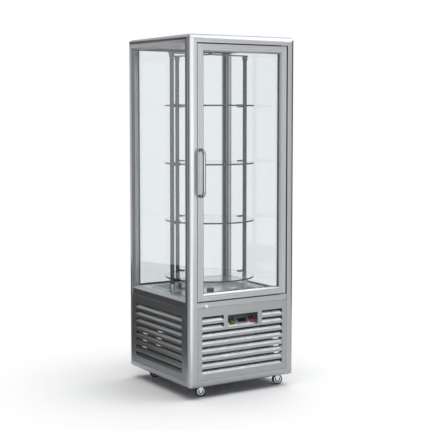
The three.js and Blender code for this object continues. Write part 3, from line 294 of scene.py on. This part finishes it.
def enamel(base):
    """Dipped black enamel: deep gloss over slow waves in the coat."""
    coat = {"Coat_Weight": 0.5, "Coat_Roughness": 0.08}
    return textured("dipped_enamel", base, (20, 0.15), (30, 0.25, 0.34), (9, 24), **coat)


def opal_acrylic(base):
    """Opal acrylic diffuser: milky, with reeds along the lamp and painted shade in the grooves between them.
    """
    glow = {"Subsurface_Weight": 0.5, "Subsurface_Scale": 0.006}
    material = textured("opal_acrylic", base, (40, 0.02), (20, 0.26, 0.34), None, **glow)
    return ribbed_with_painted_shade(material, "Y", 3 * MM, 0.15 * MM)


def finned_coil(base, pitch):
    """Heat exchanger: thin aluminium fins side by side, dull, with painted shade in the gaps between them.
    """
    fins = textured("coil_fins", base, (16, 0.12), (12, 0.4, 0.55), Metallic=0.9)
    return ribbed_with_painted_shade(fins, "X", pitch, 0.8 * MM)


def sealed_edge(base):
    """Edge of a sealed pane: a matt mill-finish spacer bar behind clear sealant, seen through the glass."""
    return textured("pane_spacer", base, (5, 0.06), (8, 0.3, 0.42), Metallic=1.0)


def clear_glass(name, base, clouds=0.012):
    """Glass: clear, its tint a little uneven. Lamps shine through it, so it casts hardly a shadow."""
    even = {"Roughness": 0.0, "IOR": 1.45, "Transmission_Weight": 1.0}
    material = textured(name, base, (300, clouds), None, None, (1, 1, 0.3), **even)
    tree = material.node_tree
    passing = any_ray(tree, "Is Shadow Ray", "Is Diffuse Ray")
    open_way = add(tree, "BsdfTransparent", {"Color": (*[c * 0.97 for c in base], 1)})
    body = tree.nodes["Principled BSDF"].outputs[0]
    mix = add(tree, "MixShader", {0: passing, 1: body, 2: open_way.outputs[0]})
    tree.links.new(mix.outputs[0], tree.nodes["Material Output"].inputs["Surface"])
    return material


MADE = {}


def finish(name):
    """The finish of that name, made once."""
    if name in MADE:
        return MADE[name]
    shades = bpy.context.scene.cabinet_colours
    sizes = bpy.context.scene.cabinet_sizes
    makers = {
        "aluminium_x": lambda: anodised_aluminium(shades.aluminium, "x"),
        "aluminium_y": lambda: anodised_aluminium(shades.aluminium, "y"),
        "aluminium_z": lambda: anodised_aluminium(shades.aluminium, "z"),
        "powder": lambda: powder_coat(shades.powder),
        "steel_x": lambda: brushed_steel("brushed_steel_x", shades.steel, "x"),
        "steel_y": lambda: brushed_steel("brushed_steel_y", shades.steel, "y"),
        "chrome": lambda: plated_chrome(shades.chrome),
        "bar": lambda: polished_bar("polished_bar", shades.bar),
        "satin": lambda: polished_bar("satin_chrome", shades.satin),
        "zinc": lambda: zinc_plate(shades.zinc),
        "jamb": lambda: moulded_plastic("moulded_jamb", shades.jamb, 0.5),
        "grey": lambda: moulded_plastic("grey_plastic", shades.grey, 0.4),
        "gasket": lambda: rubber("gasket_pvc", shades.gasket),
        "black": lambda: moulded_plastic("moulded_black", shades.black, 0.42),
        "display": lambda: lens("smoked_window", shades.display, 0.15),
        "red": lambda: lens("red_polycarbonate", shades.red),
        "green": lambda: lens("green_polycarbonate", shades.green),
        "print": lambda: moulded_plastic("white_print", shades.print, 0.5),
        "opal": lambda: opal_acrylic(shades.opal),
        "pane": lambda: clear_glass("float_glass", shades.pane),
        "spacer": lambda: sealed_edge(shades.spacer),
        "shelf": lambda: clear_glass("clear_shelf_glass", shades.shelf),
        "rim": lambda: clear_glass("ground_glass_rim", shades.rim, 0.1),
        "coil": lambda: finned_coil(shades.coil, sizes.fin_pitch),
        "enamel": lambda: enamel(shades.enamel),
        "tyre": lambda: rubber("tyre_rubber", shades.tyre),
    }
    MADE[name] = makers[name]()
    return MADE[name]


def deselect():
    """Leaves edit mode and selects nothing."""
    if bpy.context.object and bpy.context.object.mode != "OBJECT":
        bpy.ops.object.mode_set(mode="OBJECT")
    bpy.ops.object.select_all(action="DESELECT")


def take(piece):
    """Selects one piece alone and makes it active."""
    deselect()
    piece.select_set(True)
    bpy.context.view_layer.objects.active = piece


def shape(piece, kind="FACE"):
    """Opens a piece in edit mode with nothing selected."""
    take(piece)
    bpy.ops.object.mode_set(mode="EDIT")
    bpy.ops.mesh.select_mode(type=kind)
    bpy.ops.mesh.select_all(action="DESELECT")


def pick(kind, test):
    """In edit mode, selects only the faces or edges that pass a test."""
    bpy.ops.mesh.select_all(action="DESELECT")
    mesh = bmesh.from_edit_mesh(bpy.context.object.data)
    for element in getattr(mesh, kind):
        if test(element):
            element.select_set(True)
    bmesh.update_edit_mesh(bpy.context.object.data)


def push(distance):
    """Extrudes the picked faces along their normals."""
    bpy.ops.mesh.extrude_region_shrink_fatten(TRANSFORM_OT_shrink_fatten={"value": distance})


def modify(piece, kind, **settings):
    """Adds a modifier with its settings and applies it."""
    take(piece)
    bpy.ops.object.modifier_add(type=kind)
    modifier = piece.modifiers[-1]
    for name, value in settings.items():
        setattr(modifier, name, value)
    bpy.ops.object.modifier_apply(modifier=modifier.name)


def ease(piece, width, segments=2, angle=30):
    """Rounds the sharp edges and shades the rest smooth, flats staying flat."""
    if width > 0:
        modify(
            piece,
            "BEVEL",
            width=width,
            segments=segments,
            limit_method="ANGLE",
            angle_limit=math.radians(angle),
            use_clamp_overlap=False,
        )
    take(piece)
    bpy.ops.object.shade_smooth_by_angle(angle=SMOOTH_ANGLE)
    modify(piece, "WEIGHTED_NORMAL", keep_sharp=True, weight=60)


def settle(piece, name, body, slot, *finishes):
    """Names a finished piece, puts its place in its mesh, and gives it its finishes and body; the slot is
    not used.
    """
    take(piece)
    bpy.ops.object.transform_apply(location=True, rotation=True, scale=True)
    piece.name = piece.data.name = name
    for key in finishes:
        piece.data.materials.append(finish(key))
    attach(piece, body)
    return piece


def paint(piece, index, test):
    """Gives the faces that pass a test the finish of that index."""
    for face in piece.data.polygons:
        if test(face):
            face.material_index = index


def copied(piece, matrix):
    """A copy with its own mesh, moved by a matrix."""
    twin = bpy.data.objects.new(piece.name, piece.data.copy())
    bpy.context.scene.collection.objects.link(twin)
    twin.data.transform(matrix @ piece.matrix_world)
    twin.data.materials.clear()
    return twin


def from_frame(node, width, segments=2, angle=30):
    """A copy of a CAD node, its points joined, with its edges eased. It stands for the node."""
    piece = bpy.data.objects.new(node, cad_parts[node].data.copy())
    bpy.context.scene.collection.objects.link(piece)
    piece.data.materials.clear()
    take(piece)
    bpy.ops.mesh.customdata_custom_splitnormals_clear()
    shape(piece, "VERT")
    bpy.ops.mesh.select_all(action="SELECT")
    bpy.ops.mesh.remove_doubles(threshold=WELD)
    bpy.ops.mesh.tris_convert_to_quads(face_threshold=FLAT_ANGLE, shape_threshold=math.radians(60))
    deselect()
    ease(piece, width, segments, angle)
    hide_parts(node)
    return piece


def dress(node, body, slot, width, *finishes, segments=2, angle=30):
    """A frame node kept in its own shape, with eased edges and its finish."""
    piece = from_frame(node, width, segments, angle)
    return settle(piece, "dressed_" + node, body, slot, *finishes)


def cylinder(radius, depth, place, sides=48, turn=(0, 0, 0)):
    """A primitive cylinder, at its size and place, as a start."""
    deselect()
    bpy.ops.mesh.primitive_cylinder_add(
        vertices=sides, radius=radius, depth=depth, location=place, rotation=turn
    )
    return bpy.context.object


def block(low, high):
    """A primitive cube between two corners, as a start."""
    deselect()
    middle = [(a + b) / 2 for a, b in zip(low, high)]
    bpy.ops.mesh.primitive_cube_add(size=1, location=middle)
    piece = bpy.context.object
    piece.scale = [b - a for a, b in zip(low, high)]
    take(piece)
    bpy.ops.object.transform_apply(location=False, rotation=False, scale=True)
    return piece


def laid(piece, on, start, way):
    """A copy of a small piece on the surface that a ray from a point meets, its Z along the normal there."""
    found, spot, normal, _ = on.ray_cast(start, way)
    if not found:
        raise RuntimeError(f"{piece.name} meets no surface of {on.name}")
    across = Vector((1, 0, 0))
    up = normal.cross(across).normalized()
    axes = Matrix((up.cross(normal), up, normal)).transposed().to_4x4()
    return copied(piece, Matrix.Translation(spot) @ axes)


def flat_piece(half_width, half_height, foot, top, edge):
    """A small flat piece with eased edges, about the origin."""
    piece = block((-half_width, -half_height, foot), (half_width, half_height, top))
    ease(piece, edge)
    return piece


def middle_of(node):
    """The centre of a node's box."""
    low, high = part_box(node)
    return (low + high) / 2


def box_of(node):
    """A node's box as x, y and z ranges."""
    low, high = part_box(node)
    return list(zip(low, high))


def flat_from(azimuth, distance, height):
    """A point at an azimuth in degrees and a distance from the cabinet's axis, at a height."""
    turn = math.radians(azimuth)
    return Vector((distance * math.cos(turn), distance * math.sin(turn), height))


class CABINET_OT_stage(Operator):
    """Camera at the photograph's angle, a pale floor and soft studio light"""

    bl_idname = "cabinet.stage"
    bl_label = "Stage"

    def execute(self, context):
        scene = context.scene
        scene.view_settings.view_transform = "Standard"
        deselect()
        turn = (math.pi / 2 - CAMERA_DIP, 0, CAMERA_TURN)
        bpy.ops.object.camera_add(location=CAMERA_PLACE, rotation=turn)
        camera = bpy.context.object
        camera.data.lens = CAMERA_LENS
        camera.data.sensor_width = CAMERA_SENSOR
        camera.data.shift_y = CAMERA_SHIFT
        scene.camera = camera
        self.floor()
        self.lamps()
        self.flags()
        self.sky(scene)
        return {"FINISHED"}

    def floor(self):
        """A pale floor that keeps the shadow and fades to white round it."""
        deselect()
        bpy.ops.mesh.primitive_plane_add(size=40, location=(0, 0, 0))
        floor = bpy.context.object
        floor.name = "studio_floor"
        material = bpy.data.materials.new("pale_floor")
        material.use_nodes = True
        tree = material.node_tree
        tree.nodes.clear()
        # The floor that is seen is lifted to white. The light that it throws back is a pale floor's.
        seen = any_ray(tree, "Is Camera Ray", "Is Transmission Ray", "Is Glossy Ray")
        plain = add(tree, "BsdfDiffuse", {"Color": (0.72, 0.72, 0.72, 1)})
        lifted = add(tree, "BsdfDiffuse", {"Color": (0.96, 0.96, 0.965, 1)})
        white = add(tree, "Emission", {"Color": (1, 1, 1, 1), "Strength": 1.0})
        place = add(tree, "TexCoord").outputs["Object"]
        reach = add(tree, "VectorMath", {0: place}, operation="LENGTH").outputs["Value"]
        sockets = {"Value": reach, "From Min": 0.5, "From Max": 1.3, "To Min": 0, "To Max": 1}
        far = add(tree, "MapRange", sockets, interpolation_type="SMOOTHSTEP").outputs["Result"]
        faded = add(tree, "MixShader", {0: far, 1: lifted.outputs[0], 2: white.outputs[0]})
        mix = add(tree, "MixShader", {0: seen, 1: plain.outputs[0], 2: faded.outputs[0]})
        add(tree, "OutputMaterial", {"Surface": mix.outputs[0]})
        floor.data.materials.append(material)

    def lamps(self):
        """Softboxes, some for matt surfaces and some for metal and glass to mirror."""
        # azimuth, distance, height, target height, width, height and power of each, and whether it lights
        # matt surfaces and is mirrored
        for name, azimuth, distance, height, target, width, tall, power, matt, shiny in (
            ("front", 262, 4.2, 1.4, 1.3, 5.2, 2.6, 74, False, True),
            ("low", 246, 1.22, 0.28, 0.28, 0.9, 0.54, 1.6, False, True),
            ("key", 325, 2.95, 3.9, 0.6, 2.4, 2.4, 50, True, True),
            ("overhead", 250, 0.3, 5.2, 0.0, 7.0, 7.0, 320, True, False),
            ("rear", 45, 3.5, 4.9, 1.8, 4.4, 3.4, 50, True, False),
            ("right", 0, 2.6, 5.2, 1.2, 2.6, 2.2, 26, False, True),
        ):
            place = flat_from(azimuth, distance, height)
            deselect()
            bpy.ops.object.light_add(type="AREA", location=place)
            lamp = bpy.context.object
            lamp.name = name + "_softbox"
            lamp.data.shape = "RECTANGLE"
            lamp.data.size = width
            lamp.data.size_y = tall
            lamp.data.energy = power
            lamp.rotation_euler = (Vector((0, 0, target)) - place).to_track_quat("-Z", "Y").to_euler()
            # A softbox may be mirrored, but none stands in the white background.
            lamp.visible_camera = False
            lamp.visible_transmission = False
            lamp.visible_diffuse = matt
            lamp.visible_glossy = shiny

    def card(self, level):
        """A card's grey, which only metal and glass see."""
        material = bpy.data.materials.new("studio_card")
        material.use_nodes = True
        tree = material.node_tree
        tree.nodes.clear()
        depth = add(tree, "LightPath").outputs["Glossy Depth"]
        mirrored = add(tree, "Math", {0: depth, 1: 0.5}, operation="GREATER_THAN").outputs[0]
        unseen = add(tree, "BsdfTransparent")
        grey = add(tree, "Emission", {"Color": (1, 1, 1, 1), "Strength": level})
        mix = add(tree, "MixShader", {0: mirrored, 1: unseen.outputs[0], 2: grey.outputs[0]})
        add(tree, "OutputMaterial", {"Surface": mix.outputs[0]})
        return material

    def flags(self):
        """Grey cards round the cabinet, as in a studio, which metal and glass mirror."""
        # azimuth and distance, the way it faces, lowest and highest point, width and grey of each
        for name, azimuth, distance, facing, low, high, width, level in (
            ("left_low", 140, 0.8, 160, 0.0, 0.58, 1.3, 0.09),
            ("left_near", 183, 0.616, 122, 0.56, 2.0, 0.24, 0.1),
            ("left_strip", 193, 2.4, 193, 0.02, 2.6, 0.9, 0.02),
            ("left_high", 112, 2.4, 112, 2.08, 3.0, 2.2, 0.02),
            ("rear_high", 58, 2.5, 58, 2.1, 3.4, 2.6, 0.5),
            ("right_strip", 2, 2.4, 2, 0.02, 2.6, 2.9, 0.02),
        ):
            deselect()
            place = flat_from(azimuth, distance, (low + high) / 2)
            turn = (math.pi / 2, 0, math.radians(facing + 90))
            bpy.ops.mesh.primitive_plane_add(size=1, location=place, rotation=turn)
            card = bpy.context.object
            card.name = name + "_card"
            card.scale = (width, high - low, 1)
            card.data.materials.append(self.card(level))
            card.visible_camera = card.visible_diffuse = card.visible_shadow = False

    def sky(self, scene):
        """Soft light from all round, and the white that is seen, mirrored and looked through."""
        world = bpy.data.worlds.new("studio")
        scene.world = world
        world.use_nodes = True
        # Each kind of ray then meets its own strength, with no lamp made of the other.
        world.cycles.sampling_method = "NONE"
        tree = world.node_tree
        tree.nodes.clear()
        seen = any_ray(tree, "Is Camera Ray", "Is Transmission Ray", "Is Glossy Ray")
        ambient = add(tree, "Background", {"Color": (0.97, 0.985, 1.0, 1), "Strength": 0.14})
        white = add(tree, "Background", {"Color": (1, 1, 1, 1), "Strength": 1.0})
        mix = add(tree, "MixShader", {0: seen, 1: ambient.outputs[0], 2: white.outputs[0]})
        add(tree, "OutputWorld", {"Surface": mix.outputs[0]})


class CABINET_OT_frame(Operator):
    """Anodised posts, top and base frames, mid frame and glazing beads"""

    bl_idname = "cabinet.frame"
    bl_label = "Frame"

    def execute(self, context):
        sizes = context.scene.cabinet_sizes
        for corner in CORNERS:
            dress("corner_post_" + corner, "cabinet", "frame", sizes.profile_edge, "aluminium_z")
        for ring in ("top_frame", "base_frame", "mid_frame"):
            piece = dress(ring, "cabinet", "frame", sizes.profile_edge, "aluminium_x", "aluminium_y")
            paint(piece, 1, lambda face: abs(face.center.x) > abs(face.center.y))
        for side, along in (("left", "aluminium_y"), ("right", "aluminium_y"), ("rear", "aluminium_x")):
            bead = "glazing_bead_" + side
            piece = dress(bead, "cabinet", "frame", sizes.sheet_edge, along, "aluminium_z")
            low, high = box_of(bead)[2]
            paint(piece, 1, lambda face: low + BEAD_MITRE < face.center.z < high - BEAD_MITRE)
        return {"FINISHED"}


class CABINET_OT_door(Operator):
    """Door frame with its mitred, fluted profile, its pane and its gasket"""

    bl_idname = "cabinet.door"
    bl_label = "Door"

    def execute(self, context):
        sizes = context.scene.cabinet_sizes
        piece = dress("door_frame", "door", "frame", sizes.sheet_edge, "aluminium_x", "aluminium_z")
        low, high = box_of("door_frame")[2]
        paint(piece, 1, lambda face: low + DOOR_MITRE < face.center.z < high - DOOR_MITRE)
        pane = dress("door_glass", "door", "pane", sizes.glass_edge, "pane", "spacer", segments=1)
        paint(pane, 1, lambda face: abs(face.normal.y) < 0.5)
        dress("door_gasket", "door", "gasket", sizes.plastic_edge, "gasket")
        return {"FINISHED"}


class CABINET_OT_panes(Operator):
    """Fixed panes with ground edges"""

    bl_idname = "cabinet.panes"
    bl_label = "Fixed panes"

    def execute(self, context):
        sizes = context.scene.cabinet_sizes
        for side, thin in (("left", 0), ("right", 0), ("rear", 1)):
            pane = dress("glass_" + side, "cabinet", "pane", sizes.glass_edge, "pane", "spacer", segments=1)
            paint(pane, 1, lambda face: abs(face.normal[thin]) < 0.5)
        return {"FINISHED"}


class CABINET_OT_panels(Operator):
    """Louvred sheet panels, roof panel and door jamb"""

    bl_idname = "cabinet.panels"
    bl_label = "Panels"

    def screws(self, sizes, panel):
        """Screws with a round socket, along the rear panel's margin."""
        screw = cylinder(sizes.screw_head, 0.8 * MM, (0, 0, 0), 20)
        shape(screw)
        pick("faces", lambda face: face.normal.z > FACING)
        bpy.ops.mesh.inset(thickness=0.35 * MM)
        push(0.08 * MM)
        bpy.ops.mesh.inset(thickness=1.5 * MM)
        push(-0.35 * MM)
        deselect()
        ease(screw, 0.06 * MM, 1)
        (x0, x1), (_, y1), (z0, z1) = box_of("louvred_panel_rear")
        margin = sizes.screw_margin
        for column, x in enumerate((x0 + margin, (x0 + x1) / 2, x1 - margin)):
            for row, z in enumerate((z0 + margin, z1 - margin)):
                twin = laid(screw, panel, Vector((x, y1 + 10 * MM, z)), Vector((0, -1, 0)))
                settle(twin, f"rear_screw_{column}_{row}", "cabinet", "zinc", "zinc")
        bpy.data.objects.remove(screw)

    def execute(self, context):
        sizes = context.scene.cabinet_sizes
        for side in ("left", "right", "front", "rear"):
            node = "louvred_panel_" + side
            panel = dress(node, "cabinet", "panel", sizes.sheet_edge, "powder", segments=1)
            if side == "rear":
                self.screws(sizes, panel)
        dress("roof_panel", "cabinet", "panel", sizes.sheet_edge, "powder", segments=1)
        dress("door_jamb", "cabinet", "jamb_plastic", sizes.plastic_edge, "jamb")
        return {"FINISHED"}


class CABINET_OT_lamp(Operator):
    """Opal ceiling lamp"""

    bl_idname = "cabinet.lamp"
    bl_label = "Lamp"

    def execute(self, context):
        sizes = context.scene.cabinet_sizes
        dress("ceiling_lamp", "cabinet", "lamp", sizes.plastic_edge, "opal")
        return {"FINISHED"}


class CABINET_OT_controls(Operator):
    """Slanted plate with two rocker switches and a temperature controller"""

    bl_idname = "cabinet.controls"
    bl_label = "Controls"

    def outwards(self, sizes):
        """The way that the slanted plate faces."""
        return Vector((0, -math.cos(sizes.plate_tilt), math.sin(sizes.plate_tilt)))

    def before(self, piece, out, across, rise):
        """A point before a control, so many millimetres across and up the slope from its middle."""
        place = Vector()
        for way, move in ((Vector((1, 0, 0)), across), (Vector((0, out.z, -out.y)), rise)):
            spans = [corner.co.dot(way) for corner in piece.data.vertices]
            place += way * ((min(spans) + max(spans)) / 2 + move * MM)
        return place + out * (max(corner.co.dot(out) for corner in piece.data.vertices) + 10 * MM)

    def ring(self):
        """A flat printed ring."""
        deselect()
        bpy.ops.mesh.primitive_circle_add(vertices=24, radius=2.8 * MM, fill_type="NGON")
        ring = bpy.context.object
        shape(ring)
        bpy.ops.mesh.select_all(action="SELECT")
        bpy.ops.mesh.inset(thickness=0.8 * MM)
        bpy.ops.mesh.delete(type="FACE")
        bpy.ops.mesh.select_all(action="SELECT")
        push(0.12 * MM)
        deselect()
        return ring

    def execute(self, context):
        sizes = context.scene.cabinet_sizes
        dress("control_box", "cabinet", "panel", sizes.sheet_edge, "powder", segments=1)
        out = self.outwards(sizes)
        node = "temperature_controller"
        piece = dress(node, "cabinet", "jamb_plastic", sizes.plastic_edge, "grey", "display")
        # The window is the floor of the bezel's recess and the recess's sides.
        front = max(corner.co.dot(out) for corner in piece.data.vertices)
        centre = middle_of(node).x

        def window(face):
            sunk = 0.3 * MM < front - face.center.dot(out) < 1.2 * MM
            return sunk and face.normal.dot(out) > -0.5 and abs(face.center.x - centre) < 29 * MM

        paint(piece, 1, window)
        key = flat_piece(*KEY, 0.3 * MM)
        for name, rise in (("set_key", 7), ("scroll_key", -7)):
            start = self.before(piece, out, 31.8, rise)
            settle(laid(key, piece, start, -out), name, "cabinet", "black_plastic", "black")
        bpy.data.objects.remove(key)
        ring = self.ring()
        bar = flat_piece(*ON_BAR, 0.06 * MM)
        for name, body, shade in (("power", "power_button", "red"), ("light", "light_button", "green")):
            dress(name + "_switch_housing", "cabinet", "black_plastic", sizes.plastic_edge, "black")
            rocker = dress(name + "_rocker", body, shade + "_lens", sizes.plastic_edge, shade)
            for mark, kind, rise in ((ring, "_off_mark", 5), (bar, "_on_mark", -5)):
                start = self.before(rocker, out, 0, rise)
                settle(laid(mark, rocker, start, -out), name + kind, body, shade + "_lens", "print")
        bpy.data.objects.remove(ring)
        bpy.data.objects.remove(bar)
        return {"FINISHED"}


class CABINET_OT_handle(Operator):
    """Bow handle: one bent bar on two round feet"""

    bl_idname = "cabinet.handle"
    bl_label = "Handle"

    def execute(self, context):
        sizes = context.scene.cabinet_sizes
        (x0, x1), (y0, y1), (z0, z1) = box_of("door_handle")
        radius, bend, x = (x1 - x0) / 2, sizes.handle_bend, (x0 + x1) / 2
        out = y0 + radius
        deselect()
        place, turn = (x, y1, z0 + radius), (math.pi / 2, 0, 0)
        bpy.ops.mesh.primitive_circle_add(
            vertices=32, radius=radius, fill_type="NGON", location=place, rotation=turn
        )
        bar = bpy.context.object
        take(bar)
        bpy.ops.object.transform_apply(location=True, rotation=True, scale=True)
        shape(bar)
        bpy.ops.mesh.select_all(action="SELECT")
        leg = y1 - out - bend
        bpy.ops.mesh.extrude_region_move(TRANSFORM_OT_translate={"value": (0, -leg, 0)})
        centre = (x, out + bend, z0 + radius + bend)
        bpy.ops.mesh.spin(steps=12, angle=math.pi / 2, center=centre, axis=(1, 0, 0))
        rise = z1 - z0 - 2 * radius - 2 * bend
        bpy.ops.mesh.extrude_region_move(TRANSFORM_OT_translate={"value": (0, 0, rise)})
        centre = (x, out + bend, z1 - radius - bend)
        bpy.ops.mesh.spin(steps=12, angle=math.pi / 2, center=centre, axis=(1, 0, 0))
        bpy.ops.mesh.extrude_region_move(TRANSFORM_OT_translate={"value": (0, leg, 0)})
        bpy.ops.mesh.select_all(action="SELECT")
        bpy.ops.mesh.remove_doubles(threshold=WELD)
        bpy.ops.mesh.normals_make_consistent(inside=False)
        deselect()
        ease(bar, 0)
        settle(bar, "handle_bar", "door", "chrome", "bar")
        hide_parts("door_handle")
        foot = cylinder(sizes.handle_foot, sizes.foot_depth, (0, 0, 0), 48, turn)
        shape(foot, "EDGE")
        pick("edges", lambda edge: all(corner.co.z > 0 for corner in edge.verts))
        bpy.ops.mesh.bevel(offset=1.1 * MM, segments=3)
        deselect()
        ease(foot, 0)
        for name, z in (("low", z0 + radius), ("high", z1 - radius)):
            twin = copied(foot, Matrix.Translation((x, y1 - sizes.foot_depth / 2, z)))
            settle(twin, "handle_foot_" + name, "door", "chrome", "chrome")
        bpy.data.objects.remove(foot)
        return {"FINISHED"}


class CABINET_OT_lock(Operator):
    """Cam lock with its key plug"""

    bl_idname = "cabinet.lock"
    bl_label = "Lock"

    def execute(self, context):
        sizes = context.scene.cabinet_sizes
        dress("lock_barrel", "lock", "chrome", 0.8 * MM, "chrome")
        (x0, _), (y0, _), (z0, z1) = box_of("lock_barrel")
        radius = (z1 - z0) / 2
        x, z = x0 + radius, (z0 + z1) / 2
        plug = cylinder(0.6 * radius, 1.2 * MM, (x, y0 - 0.4 * MM, z), 32, (math.pi / 2, 0, 0))
        shape(plug)
        pick("faces", lambda face: face.normal.z > FACING)
        bpy.ops.mesh.inset(thickness=0.9 * MM)
        push(-0.5 * MM)
        deselect()
        ease(plug, 0.15 * MM)
        settle(plug, "lock_plug", "lock", "chrome", "chrome")
        wide, tall = 0.7 * MM, 3.4 * MM
        slit = block((x - wide, y0 - 1.0 * MM, z - tall), (x + wide, y0 - 0.3 * MM, z + tall))
        ease(slit, 0.2 * MM)
        settle(slit, "lock_keyway", "lock", "black_plastic", "black")
        return {"FINISHED"}


class CABINET_OT_hinges(Operator):
    """Zinc hinge brackets at the top and bottom of the door"""

    bl_idname = "cabinet.hinges"
    bl_label = "Hinges"

    def execute(self, context):
        sizes = context.scene.cabinet_sizes
        for end in ("top", "bottom"):
            dress("hinge_bracket_" + end, "cabinet", "zinc", sizes.sheet_edge, "zinc")
        return {"FINISHED"}


class CABINET_OT_deck(Operator):
    """Brushed deck and the tray in it"""

    bl_idname = "cabinet.deck"
    bl_label = "Deck and tray"

    def execute(self, context):
        sizes = context.scene.cabinet_sizes
        dress("deck", "cabinet", "stainless", sizes.sheet_edge, "steel_x")
        dress("deck_tray", "cabinet", "stainless", sizes.sheet_edge, "steel_y")
        return {"FINISHED"}


class CABINET_OT_rack(Operator):
    """Revolving rack: arms, uprights with their shelf jaws"""

    bl_idname = "cabinet.rack"
    bl_label = "Rack"

    def execute(self, context):
        sizes = context.scene.cabinet_sizes
        piece = dress("lower_spider", "rack", "stainless", sizes.sheet_edge, "steel_x", "black")
        top = box_of("deck_tray")[2][1]
        middle = middle_of("glass_shelf_1")

        def knob(face):
            return (face.center - middle).xy.length < sizes.knob and face.center.z > top - 20 * MM

        paint(piece, 1, knob)
        dress("upper_spider", "rack", "black_plastic", sizes.plastic_edge, "grey")
        for number in (1, 2, 3):
            dress(f"rack_upright_{number}", "rack", "chrome", sizes.sheet_edge, "satin")
        return {"FINISHED"}


class CABINET_OT_shelves(Operator):
    """Round glass shelves with polished rims"""

    bl_idname = "cabinet.shelves"
    bl_label = "Shelves"

    def execute(self, context):
        sizes = context.scene.cabinet_sizes
        (x0, x1), _, (z0, z1) = box_of("glass_shelf_1")
        disc = cylinder((x1 - x0) / 2, z1 - z0, (0, 0, 0), 128)
        shape(disc, "EDGE")
        pick("edges", lambda edge: abs(edge.verts[0].co.z - edge.verts[1].co.z) < WELD)
        bpy.ops.mesh.bevel(offset=sizes.glass_edge, segments=2)
        deselect()
        ease(disc, 0)
        for number in (1, 2, 3, 4):
            node = f"glass_shelf_{number}"
            twin = copied(disc, Matrix.Translation(middle_of(node)))
            settle(twin, f"shelf_{number}", "rack", "shelf_glass", "shelf", "rim")
            paint(twin, 1, lambda face: abs(face.normal.z) < 0.95)
            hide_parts(node)
        bpy.data.objects.remove(disc)
        return {"FINISHED"}


class CABINET_OT_machinery(Operator):
    """Chassis pan, gearmotor, compressor, coils, fans and mains inlet"""

    bl_idname = "cabinet.machinery"
    bl_label = "Machinery"

    def execute(self, context):
        sizes = context.scene.cabinet_sizes
        dress("chassis_pan", "cabinet", "zinc", sizes.sheet_edge, "zinc")
        dress("gearmotor", "cabinet", "black_enamel", sizes.plastic_edge, "enamel")
        dress("compressor", "cabinet", "black_enamel", sizes.plastic_edge, "enamel", angle=40)
        for coil, rotor in (("condenser", "condenser_rotor"), ("evaporator", "evaporator_rotor")):
            dress(coil, "cabinet", "coil", sizes.sheet_edge, "coil")
            dress(coil + "_fan", rotor, "black_plastic", sizes.sheet_edge, "black")
        dress("mains_inlet", "cabinet", "black_plastic", sizes.plastic_edge, "black")
        return {"FINISHED"}


class CABINET_OT_casters(Operator):
    """Swivel casters: plated forks and rubber-tyred wheels"""

    bl_idname = "cabinet.casters"
    bl_label = "Casters"

    def execute(self, context):
        sizes = context.scene.cabinet_sizes
        for corner in CORNERS:
            dress("caster_fork_" + corner, "fork_" + corner, "chrome", sizes.sheet_edge, "chrome")
        radius = box_of("caster_wheel_front_left")[2][1] / 2
        wheel = cylinder(radius, sizes.wheel_width, (0, 0, 0), 64)
        shape(wheel)
        pick("faces", lambda face: abs(face.normal.z) > FACING)
        for inset, rise in WHEEL_PROFILE:
            bpy.ops.mesh.inset(thickness=inset * MM)
            if rise:
                push(rise * MM)
        bpy.ops.mesh.select_mode(type="EDGE")

        def shoulder(edge):
            one, other = (corner.co for corner in edge.verts)
            return abs(one.z - other.z) < WELD and min(one.xy.length, other.xy.length) > radius - 0.2 * MM

        pick("edges", shoulder)
        bpy.ops.mesh.bevel(offset=3 * MM, segments=4)
        deselect()
        ease(wheel, 0.25 * MM)
        axis = Vector((math.sin(AXLE_TURN), math.cos(AXLE_TURN), 0))
        turn = Vector((0, 0, 1)).rotation_difference(axis).to_matrix().to_4x4()
        for corner in CORNERS:
            node = "caster_wheel_" + corner
            centre = middle_of(node)
            twin = copied(wheel, Matrix.Translation(centre) @ turn)
            settle(twin, "wheel_" + corner, "wheel_" + corner, "tyre", "tyre", "chrome", "black")

            def from_axis(face):
                away = face.center - centre
                return (away - axis * away.dot(axis)).length

            # The rim and the hub are plated. The sunk dish between them takes the black finish as painted
            # shade of its recess.
            paint(twin, 1, lambda face: from_axis(face) < radius - 7.5 * MM)
            paint(twin, 2, lambda face: 8.5 * MM < from_axis(face) < radius - 12.6 * MM)
            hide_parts(node)
        bpy.data.objects.remove(wheel)
        return {"FINISHED"}


STEPS = (
    CABINET_OT_stage,
    CABINET_OT_frame,
    CABINET_OT_door,
    CABINET_OT_panes,
    CABINET_OT_panels,
    CABINET_OT_lamp,
    CABINET_OT_controls,
    CABINET_OT_handle,
    CABINET_OT_lock,
    CABINET_OT_hinges,
    CABINET_OT_deck,
    CABINET_OT_rack,
    CABINET_OT_shelves,
    CABINET_OT_machinery,
    CABINET_OT_casters,
)


class CABINET_PT_steps(Panel):
    """Lists the steps that build the cabinet"""

    bl_idname = "CABINET_PT_steps"
    bl_label = "Display Cabinet"
    bl_space_type = "VIEW_3D"
    bl_region_type = "UI"
    bl_category = "Cabinet"

    def draw(self, context):
        for step in STEPS:
            self.layout.operator(step.bl_idname)


CLASSES = (CabinetSizes, CabinetColours, *STEPS, CABINET_PT_steps)


def register():
    for cls in CLASSES:
        bpy.utils.register_class(cls)
    bpy.types.Scene.cabinet_sizes = PointerProperty(type=CabinetSizes)
    bpy.types.Scene.cabinet_colours = PointerProperty(type=CabinetColours)


def unregister():
    del bpy.types.Scene.cabinet_colours
    del bpy.types.Scene.cabinet_sizes
    for cls in reversed(CLASSES):
        bpy.utils.unregister_class(cls)


def main():
    """Builds the whole cabinet, step by step."""
    register()
    for step in STEPS:
        family, _, name = step.bl_idname.partition(".")
        getattr(getattr(bpy.ops, family), name)()


if __name__ == "__main__":
    main()
